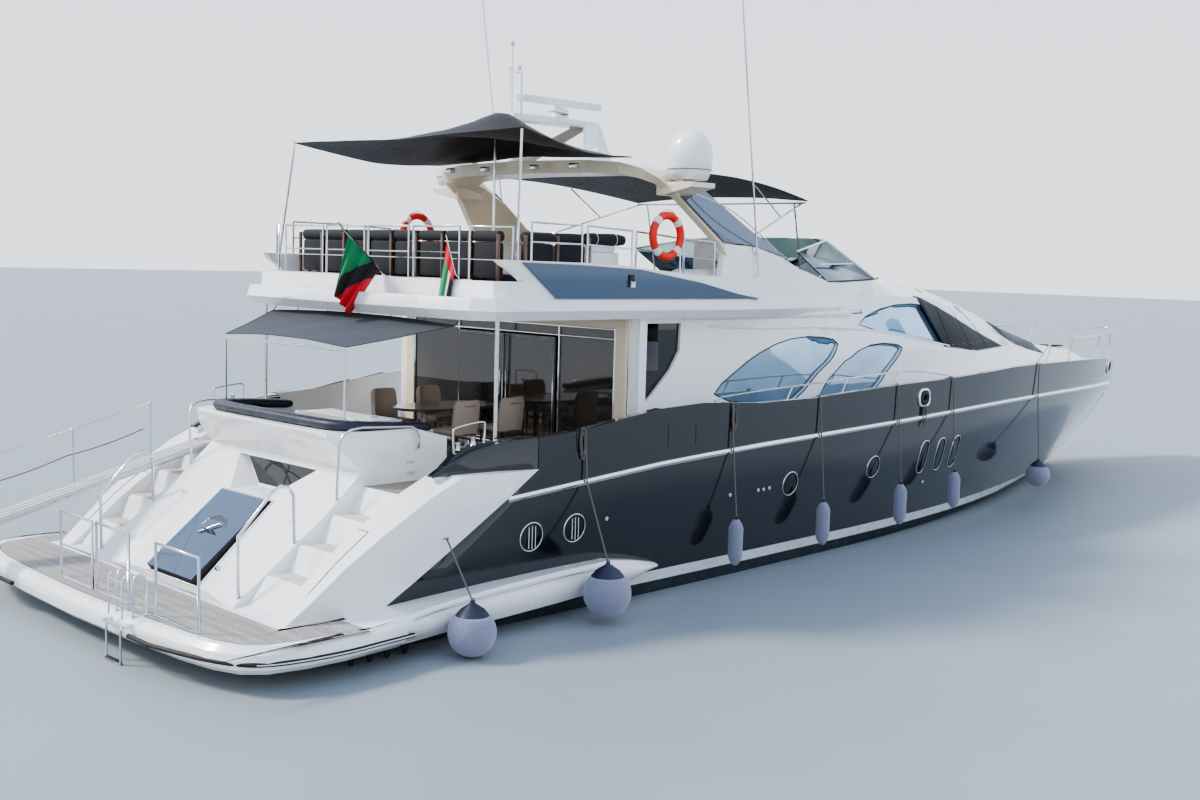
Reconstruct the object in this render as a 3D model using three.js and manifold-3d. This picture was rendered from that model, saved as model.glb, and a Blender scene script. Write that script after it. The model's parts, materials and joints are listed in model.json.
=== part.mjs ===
// Motor yacht, 29.6 m long, with a flybridge, a radar arch and a swim platform.
// Lengths are in millimetres. X runs to the bow, Y to port and Z up.
// The origin is amidships on the centreline, at the waterline.

import * as THREE from 'three';
import { mergeVertices } from 'three/addons/utils/BufferGeometryUtils.js';
import Module from 'manifold-3d';

const wasm = await Module();
wasm.setup();

// Driving dimensions

const GAP = 0.4;
const STEM_X = 14750;
const TRANSOM_X = -13600;
const PLATFORM_AFT_X = -14850;
const PLATFORM_TOP = 550;
const PAD_TOP = 2160;
const PLATFORM_BOTTOM = 230;
const SOLE_Z = 1900;
const BULWARK = 130;
const WALL = 50;
const GLASS = 14;
const HOUSE_AFT_X = -7400;
const HOUSE_FORE_X = 6600;
const FLY_UNDER = 4140;
const FLY_TOP = 4270;
const FLY_FORE_X = -700;
const CEILING = 4085;
const RAIL = 19;
const STEP_COUNT = 4;
const STEP_RUN = 487;
const STEP_FOOT_X = -13120;
const STAIR_IN = 1950;
const STAIR_OUT = 2750;
const DOOR_WIDTH = 1180;
const PROP_RADIUS = 400;
const PROP_Z = -1350;
const SHAFT_Y = 1150;

// Finishes

const finishes = {
  topside: { color: 0x42464d, roughness: 0.25, metalness: 0.6 },
  slate: { color: 0x4a6079, roughness: 0.3, metalness: 0.6 },
  gelcoat: { color: 0xf2f1ee, roughness: 0.2, metalness: 0 },
  cream: { color: 0xe6dfd2, roughness: 0.35, metalness: 0 },
  chrome: { color: 0xd0d4d8, roughness: 0.12, metalness: 1 },
  steel: { color: 0xc4c8cc, roughness: 0.2, metalness: 1 },
  tint: { color: 0x9ec4da, roughness: 0.05, metalness: 0.2 },
  darkGlass: { color: 0x2a2c2e, roughness: 0.05, metalness: 0.2 },
  cover: { color: 0x3a3d42, roughness: 0.85, metalness: 0 },
  canvas: { color: 0x23262a, roughness: 0.9, metalness: 0 },
  awning: { color: 0x4a5664, roughness: 0.9, metalness: 0 },
  navy: { color: 0x1c2538, roughness: 0.8, metalness: 0 },
  taupe: { color: 0xa99c8e, roughness: 0.8, metalness: 0 },
  ring: { color: 0xe2431d, roughness: 0.6, metalness: 0 },
  fender: { color: 0x9aa0c0, roughness: 0.9, metalness: 0 },
  bronze: { color: 0xb08d4f, roughness: 0.35, metalness: 1 },
  flag: { color: 0x1f7a3d, roughness: 0.8, metalness: 0 },
};

// Basic shapes

const yacht = new THREE.Group();

function toSolid(geometry) {
  const bare = geometry.clone();
  bare.deleteAttribute('normal');
  bare.deleteAttribute('uv');
  const merged = mergeVertices(bare, 0.01);
  return new wasm.Manifold(new wasm.Mesh({
    numProp: 3,
    vertProperties: new Float32Array(merged.attributes.position.array),
    triVerts: new Uint32Array(merged.index.array),
  }));
}

function add(name, solid, finish) {
  const { vertProperties, triVerts } = solid.getMesh();
  const geometry = new THREE.BufferGeometry();
  geometry.setAttribute('position', new THREE.BufferAttribute(new Float32Array(vertProperties), 3));
  geometry.setIndex(new THREE.BufferAttribute(new Uint32Array(triVerts), 1));
  geometry.computeVertexNormals();
  const mesh = new THREE.Mesh(geometry, new THREE.MeshStandardMaterial(finishes[finish]));
  mesh.name = name;
  yacht.add(mesh);
}

const AXES = {
  top: [[1, 0, 0], [0, 1, 0], [0, 0, 1]],
  side: [[1, 0, 0], [0, 0, 1], [0, -1, 0]],
  cross: [[0, 1, 0], [0, 0, 1], [1, 0, 0]],
};

function prism(outline, depth, axes, offset) {
  const shape = new THREE.Shape(outline.map(([u, v]) => new THREE.Vector2(u, v)));
  const geometry = new THREE.ExtrudeGeometry(shape, { depth, bevelEnabled: false });
  const [a, b, c] = AXES[axes].map((v) => new THREE.Vector3(...v));
  geometry.applyMatrix4(new THREE.Matrix4().makeBasis(a, b, c));
  geometry.translate(...offset);
  return toSolid(geometry);
}

// An outline seen from above, from z0 up to z1
const topPlate = (outline, z0, z1) => prism(outline, z1 - z0, 'top', [0, 0, z0]);

// An outline of x and z, from y0 to y1
const sidePlate = (outline, y0, y1) => prism(outline, y1 - y0, 'side', [0, y1, 0]);

// An outline of y and z, from x0 to x1
const crossPlate = (outline, x0, x1) => prism(outline, x1 - x0, 'cross', [x0, 0, 0]);

function box(x0, x1, y0, y1, z0, z1) {
  return topPlate([[x0, y0], [x1, y0], [x1, y1], [x0, y1]], z0, z1);
}

const union = (solids) => solids.reduce((sum, solid) => sum.add(solid));

// The same solid with every point moved; a mirrored one has its faces turned round
function reshaped(solid, place, mirrored = false) {
  const { vertProperties, triVerts } = solid.getMesh();
  const points = new Float32Array(vertProperties.length);
  for (let i = 0; i < vertProperties.length; i += 3) {
    points.set(place(vertProperties[i], vertProperties[i + 1], vertProperties[i + 2]), i);
  }
  const faces = Uint32Array.from(triVerts);
  if (mirrored) {
    for (let i = 0; i < faces.length; i += 3) [faces[i], faces[i + 1]] = [faces[i + 1], faces[i]];
  }
  return new wasm.Manifold(new wasm.Mesh({ numProp: 3, vertProperties: points, triVerts: faces }));
}

const mirrorY = (solid) => reshaped(solid, (x, y, z) => [x, -y, z], true);

const bothSides = (solid) => solid.add(mirrorY(solid));

const flipOutline = (outline) => outline.map(([x, y]) => [x, -y]).reverse();

// A half outline with y above 0 becomes a whole one
const wholeOutline = (half) => [...half, ...flipOutline(half)];

// A straight round bar
function rod(start, end, radius, sides = 5) {
  const a = new THREE.Vector3(...start);
  const b = new THREE.Vector3(...end);
  const along = b.clone().sub(a);
  const geometry = new THREE.CylinderGeometry(radius, radius, along.length(), sides);
  geometry.applyQuaternion(new THREE.Quaternion().setFromUnitVectors(
    new THREE.Vector3(0, 1, 0), along.clone().normalize()));
  geometry.translate(...a.add(b).multiplyScalar(0.5).toArray());
  return toSolid(geometry);
}

// A round bar bent at each point of a chain, with mitred corners
function pipe(points, radius, sides = 5) {
  const corners = points.map((point) => new THREE.Vector3(...point));
  const runs = corners.slice(1).map((corner, i) => corner.clone().sub(corners[i]).normalize());
  const across = new THREE.Vector3(0.31, 0.47, 0.83).cross(runs[0]).normalize();
  const rings = corners.map((corner, i) => {
    const run = runs[Math.max(i - 1, 0)];
    const next = runs[Math.min(i, runs.length - 1)];
    const facing = run.clone().add(next).normalize();
    across.addScaledVector(run, -across.dot(run)).normalize();
    const other = run.clone().cross(across);
    return Array.from({ length: sides }, (_, k) => {
      const angle = (k * 2 * Math.PI) / sides;
      const spoke = across.clone().multiplyScalar(radius * Math.cos(angle))
        .addScaledVector(other, radius * Math.sin(angle));
      spoke.addScaledVector(run, -spoke.dot(facing) / run.dot(facing));
      return corner.clone().add(spoke).toArray();
    });
  });
  return loft(rings);
}

// A guard rail: a hoop of pipe with a mid rail, standing on two feet
function guard(foot0, foot1, height, radius = RAIL) {
  const up = (foot, part) => [foot[0], foot[1], foot[2] + height * part];
  return pipe([foot0, up(foot0, 1), up(foot1, 1), foot1], radius)
    .add(rod(up(foot0, 0.5), up(foot1, 0.5), radius * 0.7));
}

// A turned solid: radius and height pairs from the bottom to the top
function turned(profile, centre, sides = 16) {
  const geometry = new THREE.LatheGeometry(profile.map(([r, z]) => new THREE.Vector2(r, z)), sides);
  geometry.rotateX(Math.PI / 2);
  geometry.translate(...centre);
  return toSolid(geometry);
}

// Rings of equal length joined into a closed solid
function loft(rings) {
  const count = rings[0].length;
  const positions = rings.flat(2);
  const faces = [];
  for (let i = 0; i + 1 < rings.length; i += 1) {
    for (let j = 0; j < count; j += 1) {
      const a = i * count + j;
      const b = i * count + ((j + 1) % count);
      faces.push([a, b, a + count], [b, b + count, a + count]);
    }
  }
  const last = (rings.length - 1) * count;
  for (const [base, outward] of [[0, -1], [last, 1]]) {
    const ring = rings[base / count];
    const flat = ring.map((point) => flatten(point, ring));
    const area = THREE.ShapeUtils.area(flat);
    for (const [a, b, c] of THREE.ShapeUtils.triangulateShape(flat, [])) {
      const turn = THREE.ShapeUtils.area([flat[a], flat[b], flat[c]]);
      const same = Math.sign(turn) === Math.sign(area) ? 1 : -1;
      faces.push(same === outward ? [base + a, base + b, base + c] : [base + a, base + c, base + b]);
    }
  }
  const geometry = new THREE.BufferGeometry();
  geometry.setAttribute('position', new THREE.Float32BufferAttribute(positions, 3));
  geometry.setIndex(faces.flat());
  if (signedVolume(geometry) < 0) {
    geometry.setIndex(faces.map(([a, b, c]) => [a, c, b]).flat());
  }
  return toSolid(geometry);
}

// Drops a ring's point onto the ring's own plane
function flatten(point, ring) {
  const origin = new THREE.Vector3(...ring[0]);
  const middle = new THREE.Vector3(...ring[Math.floor(ring.length / 3)]);
  const far = new THREE.Vector3(...ring[Math.floor((ring.length * 2) / 3)]);
  const u = middle.clone().sub(origin).normalize();
  const normal = u.clone().cross(far.clone().sub(origin)).normalize();
  const v = normal.clone().cross(u);
  const offset = new THREE.Vector3(...point).sub(origin);
  return new THREE.Vector2(offset.dot(u), offset.dot(v));
}

function signedVolume(geometry) {
  const points = geometry.attributes.position;
  const index = geometry.index.array;
  const corner = (i) => new THREE.Vector3().fromBufferAttribute(points, index[i]);
  let volume = 0;
  for (let i = 0; i < index.length; i += 3) {
    volume += corner(i).dot(corner(i + 1).cross(corner(i + 2)));
  }
  return volume;
}

// A closed outline moved outward by a distance, or inward by a negative one
function offsetOutline(outline, distance) {
  const points = outline.map(([u, v]) => new THREE.Vector2(u, v));
  const turn = Math.sign(THREE.ShapeUtils.area(points));
  const normalOf = (a, b) => new THREE.Vector2(b.y - a.y, a.x - b.x).normalize().multiplyScalar(turn);
  return points.map((point, i) => {
    const before = points[(i + points.length - 1) % points.length];
    const after = points[(i + 1) % points.length];
    const n0 = normalOf(before, point);
    const n1 = normalOf(point, after);
    const bisector = n0.clone().add(n1).normalize();
    const reach = distance / Math.max(bisector.dot(n0), 0.4);
    return [point.x + bisector.x * reach, point.y + bisector.y * reach];
  });
}

// A smooth closed outline through the given points
function roundOutline(points, count) {
  const curve = new THREE.CatmullRomCurve3(points.map(([u, v]) => new THREE.Vector3(u, v, 0)), true);
  return curve.getPoints(count).slice(0, -1).map((point) => [point.x, point.y]);
}

// Rows of a table, with every column read smoothly at x
function rowAt(table, x) {
  const last = table.length - 1;
  let i = table.findIndex((row) => row[0] > x) - 1;
  if (i < 0) i = x <= table[0][0] ? 0 : last - 1;
  const [p0, p1, p2, p3] = [-1, 0, 1, 2].map((k) => table[Math.min(Math.max(i + k, 0), last)]);
  const t = (x - p1[0]) / (p2[0] - p1[0]);
  const slope = (a, b, k) => (b[0] === a[0] ? 0 : (b[k] - a[k]) / (b[0] - a[0]));
  return p1.map((value, k) => {
    const span = p2[0] - p1[0];
    const m1 = slope(p0, p2, k) * span;
    const m2 = slope(p1, p3, k) * span;
    const h = t * t * (3 - 2 * t);
    return value * (1 - h) + p2[k] * h + m1 * t * (1 - t) * (1 - t) - m2 * t * t * (1 - t);
  });
}

const stationsBetween = (start, end, count) => Array.from(
  { length: count + 1 }, (_, i) => start + ((end - start) * i) / count);

// Hull

// Columns: x, keel z, chine y, chine z, mid y, mid z, rub y, rub z, top y, top z, deck z
const hullTable = [
  [-13600, -1000, 2980, -120, 3130, 800, 3210, 1500, 3230, 2330, 1900],
  [-12000, -1120, 3060, -120, 3250, 850, 3350, 1680, 3340, 2440, 1900],
  [-10400, -1220, 3100, -110, 3320, 900, 3420, 1800, 3400, 2550, 1900],
  [-9000, -1290, 3110, -100, 3340, 930, 3450, 1910, 3430, 2640, 1900],
  [-7450, -1330, 3110, -80, 3350, 960, 3470, 2030, 3450, 2850, 1900],
  [-6000, -1350, 3090, -60, 3340, 990, 3480, 2100, 3460, 2880, 2060],
  [-4700, -1360, 3060, -40, 3330, 1020, 3480, 2150, 3465, 2790, 2080],
  [-1200, -1370, 2930, 0, 3250, 1080, 3470, 2250, 3450, 2915, 2150],
  [1200, -1330, 2740, 50, 3120, 1140, 3400, 2330, 3395, 2970, 2200],
  [3500, -1220, 2420, 120, 2900, 1200, 3240, 2380, 3250, 3065, 2250],
  [7000, -900, 1720, 290, 2280, 1290, 2750, 2375, 2780, 3040, 2300],
  [9500, -480, 1060, 460, 1640, 1360, 2190, 2320, 2240, 2970, 2300],
  [11200, -20, 610, 640, 1090, 1420, 1660, 2250, 1720, 2885, 2280],
  [12500, 520, 320, 860, 680, 1520, 1150, 2170, 1220, 2800, 2240],
  [13700, 1080, 130, 1240, 330, 1700, 600, 2080, 680, 2690, 2180],
  [STEM_X, 1700, 25, 1780, 45, 1880, 80, 1990, 110, 2600, 2120],
];
const HULL_STATIONS = [
  ...stationsBetween(TRANSOM_X, -9000, 4), -8200, -7450, ...stationsBetween(-6500, 7500, 10),
  ...stationsBetween(8500, STEM_X, 7),
];

// A hull that is grown a little is what its neighbours are cut back from
function hullForm(grow, solidTop) {
  return loft(HULL_STATIONS.map((x) => {
    const [, keelZ, chineY, chineZ, midY, midZ, rubY, rubZ, topY, topZ, deckZ] = rowAt(hullTable, x);
    const inner = Math.max(topY - BULWARK, 12);
    const side = [[chineY, chineZ], [midY, midZ], [rubY, rubZ], [topY, topZ]]
      .map(([y, z]) => [y + grow, z]);
    const deck = [[inner - grow, topZ + grow], [Math.max(inner - 20, 8) - grow, deckZ + grow]];
    const half = solidTop ? side : [...side, ...deck];
    const middle = solidTop ? [[0, topZ + 30]] : [];
    const ring = [[0, keelZ - grow], ...half, ...middle, ...flipHalf(half)];
    return ring.map(([y, z]) => [x, y, z]);
  }));
}

const flipHalf = (half) => half.map(([y, z]) => [-y, z]).reverse();

// The slanted seam between the dark topsides and the white stern
const SEAM = [[-9840, PAD_TOP], [-10410, 1790], [-12160, 610], [-12500, 206]];
const PAD_FORE_X = SEAM[0][0];
const seamAt = (shift) => SEAM.map(([x, z]) => [x - shift, z + shift]);

const hullGrown = hullForm(GAP, false);
const sternRegion = (shift) => sidePlate(
  [[PAD_FORE_X - shift, 4000], ...seamAt(shift), [-14500, 206 + shift], [-14500, 4000]], -4000, 4000);

// The shaft falls aft from inside the bottom to the propeller
const SHAFT_FALL = 0.185;
const SHAFT_END = -11990;
const shaftPoint = (x, y) => [x, y, PROP_Z + (x - SHAFT_END) * SHAFT_FALL];

function shaftAndStrut(y) {
  const shaft = rod(shaftPoint(-9200, y), shaftPoint(SHAFT_END, y), 45, 8);
  const hub = rod(shaftPoint(-11620, y), shaftPoint(-11900, y), 90, 8);
  const strut = sidePlate([[-11650, -500], [-11350, -500], [-11660, -1300], [-11860, -1330]], y - 20, y + 20);
  return union([shaft, hub, strut]);
}

const hull = hullForm(0, false)
  .subtract(sternRegion(0))
  .add(shaftAndStrut(SHAFT_Y))
  .add(shaftAndStrut(-SHAFT_Y));
add('hull', hull, 'topside');

// Chrome strake round both sides and the stem

function strakeSide(side) {
  const rings = HULL_STATIONS.filter((x) => x > -10300).concat(-10380).sort((a, b) => a - b).map((x) => {
    const row = rowAt(hullTable, x);
    const [y, z] = [row[6], row[7]];
    const section = [[y - 60, z - 38], [y + 26, z - 38], [y + 40, z], [y + 26, z + 38], [y - 60, z + 38]];
    return section.map(([sy, sz]) => [x, side * sy, sz]);
  });
  return loft(rings);
}

const strakeNose = box(STEM_X - 60, STEM_X + 45, -118, 118, 1955, 2025);
add('rub_strake', strakeSide(1).add(strakeSide(-1)).add(strakeNose).subtract(hullGrown), 'chrome');

// White stern with the stairs, the sofa and the sloping transom

const COAMING_TOP = 2620;
const SEAT_TOP = 2250;
const seamTail = seamAt(GAP).slice(1);
const soleEdge = [SEAM[1][0] - 2 * GAP
  + ((SOLE_Z - SEAM[1][1]) / (PAD_TOP - SEAM[1][1])) * (PAD_FORE_X - SEAM[1][0]), SOLE_Z];
const footOfStern = [[TRANSOM_X, 206 + GAP], [TRANSOM_X, 520]];

// The slope is steep in the middle, where the hatch is, and eases towards the stairs
const SLOPE_FOOT = [-13400, 540];
const SLOPE_TOP = [-12250, 1575];
const CREASE = [-11690, 2080];
const slopeCore = sidePlate([[-13390, 206 + GAP], SLOPE_FOOT, SLOPE_TOP, CREASE, [-11560, CREASE[1]], [-11560, SEAT_TOP],
  [-10950, SEAT_TOP], [-10950, SOLE_Z], soleEdge, ...seamTail], -STAIR_IN, STAIR_IN);
const cheekRing = (y, foot, middle, top) => [
  [foot, 206 + GAP], [foot, 540], middle, top, [-11500, top[1]], [-11500, 206 + GAP]].map(([x, z]) => [x, y, z]);
const cheek = loft([
  cheekRing(1000, SLOPE_FOOT[0], [-12250, 1574], [CREASE[0], CREASE[1] - 1]),
  cheekRing(1500, -13520, [-12200, 1600], [-11640, 2085]),
  cheekRing(STAIR_IN, -13640, [-12150, 1650], [-11560, 2090])]);

// The sofa's coaming is a horseshoe round the aft end of the cockpit, undercut at the back
const coamingPlan = wholeOutline([[-12130, 1450], [-12080, 1700], [-11930, 1880], [-11720, STAIR_IN], [-10250, STAIR_IN],
  [-10250, 1740], [-11560, 1740]]);
const coamingShape = [[-11700, SOLE_Z - 100], [-11700, 2090], [-12150, COAMING_TOP], [-10800, COAMING_TOP],
  [-10240, 2470], [-10240, SOLE_Z - 100]];
const sofaCoaming = topPlate(coamingPlan, SOLE_Z - 100, COAMING_TOP)
  .intersect(sidePlate(coamingShape, -2100, 2100));
const sofaArm = box(-10960, -10350, 1150, 1745, SOLE_Z - 5, SEAT_TOP);
const HATCH_STEP_Z = 1590;
const niche = loft([[HATCH_STEP_Z, -11760, 480], [2010, -11640, 1020]].map(([z, x, half]) => (
  [[-12500, -half, z], [x, -half, z], [x, half, z], [-12500, half, z]])));

// Places on the slope: a distance up it, and a height square to it
const slopeAngle = Math.atan2(SLOPE_TOP[1] - SLOPE_FOOT[1], SLOPE_TOP[0] - SLOPE_FOOT[0]);
const onSlope = (along, height) => [
  SLOPE_FOOT[0] + along * Math.cos(slopeAngle) - height * Math.sin(slopeAngle),
  SLOPE_FOOT[1] + along * Math.sin(slopeAngle) + height * Math.cos(slopeAngle),
];
function slopePlate(start, end, low, high, y0, y1) {
  return sidePlate([onSlope(start, low), onSlope(end, low), onSlope(end, high), onSlope(start, high)], y0, y1);
}

const HATCH = { start: 30, end: 1520, low: -28, high: 45, proud: 120, y0: -640, y1: 600 };
const stepRise = (SOLE_Z - 575) / STEP_COUNT;
const stairOutline = [[TRANSOM_X, 206 + GAP], [TRANSOM_X, 540], [STEP_FOOT_X - 290, 575]];
for (let i = 0; i < STEP_COUNT; i += 1) {
  const x = STEP_FOOT_X + i * STEP_RUN;
  const z = 575 + (i + 1) * stepRise;
  stairOutline.push([x - 40, z - 40], [x, z]);
  if (i < STEP_COUNT - 1) stairOutline.push([x + STEP_RUN - 190, z]);
}
stairOutline.push(soleEdge, ...seamTail);
const wedgeOutline = [
  ...footOfStern, [-13560, 560], [-13200, 850], [-12800, 1190], [-12320, 1530], [-11640, 1930], [-11130, PAD_TOP],
  [PAD_FORE_X - 2 * GAP, PAD_TOP], ...seamTail,
];
const sternZones = slopeCore
  .add(bothSides(cheek))
  .add(bothSides(sidePlate(stairOutline, STAIR_IN - 1, STAIR_OUT)))
  .add(bothSides(sidePlate(wedgeOutline, STAIR_OUT - 1, 3600)));
const innerCoaming = sidePlate([[-11340, PAD_TOP - 60], [-11340, PAD_TOP + 15], [-10940, 2500], [-10500, 2540],
  [PAD_FORE_X - GAP, 2570], [PAD_FORE_X - GAP, PAD_TOP - 60]], 3000, 3120);
const tableTop = topPlate([[-10900, -900], [-10250, -900], [-10250, 900], [-10900, 900]], 2560, 2600);
const tableLeg = box(-10640, -10560, -40, 40, SOLE_Z - 5, 2561);
const hatchWell = slopePlate(HATCH.start - 5, HATCH.end + 5, -35, 200, HATCH.y0 - 5, HATCH.y1 + 5);
const gangwayPad = box(-11640, -11520, 2100, 2640, SOLE_Z - 5, 1945);
const cleatBase = box(-10650, -10350, 2860, 2985, PAD_TOP - 5, PAD_TOP + 14);
const sternForm = hullForm(0, true).add(box(-12600, -9400, -3000, 3000, 2200, 3200));
const stern = sternZones.intersect(sternForm)
  .intersect(sternRegion(GAP))
  .add(sofaCoaming.intersect(sternRegion(GAP)))
  .add(bothSides(sofaArm))
  .add(bothSides(innerCoaming))
  .add(bothSides(cleatBase))
  .add(tableTop)
  .add(tableLeg)
  .add(gangwayPad)
  .subtract(niche)
  .subtract(hatchWell);
add('stern_moulding', stern, 'gelcoat');

// Dark hatch on the slope, hinged along its upper edge

const hatchPlate = sidePlate([onSlope(HATCH.start, HATCH.low), onSlope(HATCH.end, HATCH.low),
  onSlope(HATCH.end, HATCH.high), onSlope(HATCH.start, HATCH.proud)], HATCH.y0, HATCH.y1);
const onHatch = (along, height, y) => {
  const [x, z] = onSlope(along, height);
  return [x, y, z];
};
const hatchHandle = pipe([onHatch(800, 75, -160), onHatch(800, 125, -160), onHatch(800, 125, 120), onHatch(800, 75, 120)], 12);
add('transom_hatch', hatchPlate.add(hatchHandle), 'topside');

// Swim platform with the side wings

const platformHalf = [
  [PLATFORM_AFT_X, 0], [-14815, 1500], [-14740, 2600], [-14650, 3150], [-14500, 3540], [-14220, 3780], [-13750, 3880],
  [-13200, 3900], [-12300, 3815], [-12200, 3600],
];
const platformOutline = wholeOutline(platformHalf.slice(1)).concat([platformHalf[0]]);
const platformPlate = loft([[PLATFORM_BOTTOM, -110], [300, -25], [400, 0], [480, -15], [PLATFORM_TOP, -90]].map(
  ([z, inset]) => offsetOutline(platformOutline, inset).map(([x, y]) => [x, y, z])));

// Columns: x, outer y, bottom z and top z of the wing that leads the platform's edge into the hull's side
const wingTable = [[-12900, 3860, 240, 540], [-12300, 3800, 240, 590], [-11500, 3700, 240, 640], [-10500, 3650, 250, 690],
  [-9500, 3620, 280, 720], [-8490, 3575, 320, 730], [-7900, 3520, 360, 640], [-7350, 3400, 440, 520]];
const wing = loft(wingTable.map(([x, outer, low, high]) => [[3000, low], [outer - 110, low],
  [outer - 20, low + (high - low) * 0.3], [outer, low + (high - low) * 0.55], [outer - 30, high - (high - low) * 0.2],
  [outer - 100, high], [3000, high]].map(([y, z]) => [x, y, z])));
const platformCut = hullForm(GAP, true).subtract(box(-20000, TRANSOM_X - 500, -5000, 5000, -2000, 5000));
const sternBlock = box(TRANSOM_X - GAP, -12100, -3000, 3000, 0, 1000);

// Lugs behind the platform's edge that hold the boarding ladder's pin

const LADDER = { x: -14905, y0: -1610, y1: -1240, top: 470, foot: -800, pin: 12 };
const pinEnds = [LADDER.y0 - 60, LADDER.y1 + 60];
const ladderLugs = pinEnds.map((y) => box(LADDER.x - 26, -14700, y - 4, y + 22, LADDER.top - 26, LADDER.top + 26));
const lugHole = rod([LADDER.x, pinEnds[0] - 50, LADDER.top], [LADDER.x, pinEnds[1] + 50, LADDER.top], LADDER.pin + 3, 12);
add('swim_platform', union([platformPlate, wing, mirrorY(wing), ...ladderLugs])
  .subtract(platformCut).subtract(sternBlock).subtract(lugHole), 'gelcoat');

// Deckhouse

// Columns: x, foot z, foot y, shoulder y, shoulder z, cant y, cant z, crown z
const houseTable = [
  [-7400, 1800, 2750, 2750, 3300, 2720, 4130, 4150],
  [-3000, 1950, 2750, 2745, 3300, 2640, 4130, 4200],
  [-800, 2050, 2740, 2700, 3450, 2120, 4400, 4650],
  [1000, 2100, 2680, 2600, 3450, 1950, 4440, 4740],
  [2900, 2150, 2500, 2400, 3300, 1700, 4290, 4720],
  [4600, 2180, 2250, 2120, 3150, 1450, 3860, 4470],
  [6200, 2200, 1950, 1820, 3000, 1220, 3560, 4080],
  [7300, 2200, 1760, 1620, 2960, 1120, 3320, 3700],
  [8400, 2200, 1560, 1420, 2920, 1020, 3170, 3400],
  [9640, 2200, 1300, 1200, 2860, 900, 3060, 3190],
  [11270, 2150, 900, 820, 2780, 600, 2980, 3080],
  [12700, 2100, 420, 380, 2600, 280, 2700, 2780],
];

const HOUSE_GRID = stationsBetween(-7400, 12700, 30);
const houseRows = HOUSE_GRID.map((x) => rowAt(houseTable, x));

// Every form of the house is read on one grid, so that its faces stay parallel
function houseRow(x) {
  const above = HOUSE_GRID.findIndex((grid) => grid > x);
  const i = above < 0 ? HOUSE_GRID.length - 2 : Math.max(above - 1, 0);
  const part = x < HOUSE_GRID[0] ? 0 : (x - HOUSE_GRID[i]) / (HOUSE_GRID[i + 1] - HOUSE_GRID[i]);
  return houseRows[i].map((value, k) => value + (houseRows[i + 1][k] - value) * part);
}

function houseForm(inset, start, end, footDrop = 0) {
  const inside = HOUSE_GRID.filter((x) => x > start + 1 && x < end - 1);
  return loft([start, ...inside, end].map((x) => {
    const [, footZ, footY, shoulderY, shoulderZ, cantY, cantZ, crownZ] = houseRow(x);
    const half = [
      [footY - inset, footZ - footDrop],
      [shoulderY - inset, shoulderZ - inset * 0.2],
      [cantY - inset * 0.8, cantZ - inset * 0.6],
      [cantY * 0.6, cantZ + (crownZ - cantZ) * 0.72 - inset],
    ];
    return [...half, [0, crownZ - inset], ...flipHalf(half)].map(([y, z]) => [x, y, z]);
  }));
}

const saloonWindows = [
  roundOutline([[-5440, 2900], [-4930, 3240], [-4290, 3530], [-3430, 3740], [-2340, 3740], [-1900, 3620],
    [-2650, 3130], [-3430, 2630], [-4500, 2700]], 18),
  roundOutline([[-2630, 2680], [-1850, 3300], [-880, 3570], [-90, 3570], [160, 3500], [-400, 3080],
    [-850, 2750], [-1700, 2640]], 16),
];
const pilothouseWindow = roundOutline([[-970, 3935], [190, 4230], [1780, 4280], [2900, 4090], [3840, 3850],
  [3760, 3400], [2170, 3510], [630, 3710]], 18);
const windscreenPlan = wholeOutline([[3350, 1150], [4600, 1150], [6150, 900]]);

const throughWall = (outline) => bothSides(sidePlate(outline, 1150, 3200));
const throughCuts = (outlines) => union(outlines.map(throughWall));
const cavity = houseForm(WALL, -8000, HOUSE_FORE_X - 120, 300)
  .subtract(box(-9000, FLY_FORE_X - 30, -4000, 4000, CEILING, 6000));
const flySlot = box(-9000, FLY_FORE_X, -4000, 4000, FLY_UNDER - GAP, 6000);
const wingColumn = box(-7399, -7240, 2720, 2920, 2000, FLY_UNDER - GAP);
const wingOpening = [[-7190, 4050], [-6260, 4050], [-6290, 3620], [-6500, 3330], [-6920, 2950], [-7190, 2760]];
const deckhouse = houseForm(0, HOUSE_AFT_X, HOUSE_FORE_X)
  .subtract(flySlot)
  .subtract(cavity)
  .subtract(throughCuts([...saloonWindows, pilothouseWindow, wingOpening]))
  .subtract(topPlate(windscreenPlan, 3450, 5000))
  .add(bothSides(wingColumn))
  .subtract(hullGrown);
add('deckhouse', deckhouse, 'gelcoat');

const trunk = houseForm(0, HOUSE_FORE_X + GAP, 12700).subtract(hullGrown);
add('foredeck_trunk', trunk, 'gelcoat');

// Window panes bonded behind the walls

const paneLayer = houseForm(WALL + 2, HOUSE_AFT_X + 30, HOUSE_FORE_X - 130, 300)
  .subtract(houseForm(WALL + 2 + GLASS, HOUSE_AFT_X, HOUSE_FORE_X - 160, 600));
const saloonPaneOutline = [[-7330, 4075], [-7330, 2640], [-6900, 2600], [-4500, 2560], [-2600, 2520], [-700, 2600], [420, 3500],
  [-100, 3720], [-2300, 3860], [-3500, 3880], [-5600, 3950], [-6100, 4075]];
add('saloon_window_port', paneLayer.intersect(sidePlate(saloonPaneOutline, 2000, 3200)), 'tint');
add('saloon_window_starboard', paneLayer.intersect(sidePlate(saloonPaneOutline, -3200, -2000)), 'tint');

const wrapBelow = sidePlate([[-1150, 3860], [600, 3630], [2200, 3420], [3900, 3280], [6450, 3280],
  [6450, 5000], [-1150, 5000]], -3000, 3000);
const roofMiddle = topPlate(wholeOutline([[-2000, 1650], [2400, 1550], [3280, 1300]]), 3000, 6000);
const underFly = box(-3000, FLY_FORE_X + 60, -3000, 3000, CEILING - 20, 6000);
add('pilothouse_glass', paneLayer.intersect(wrapBelow).subtract(roofMiddle).subtract(underFly), 'tint');

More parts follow.
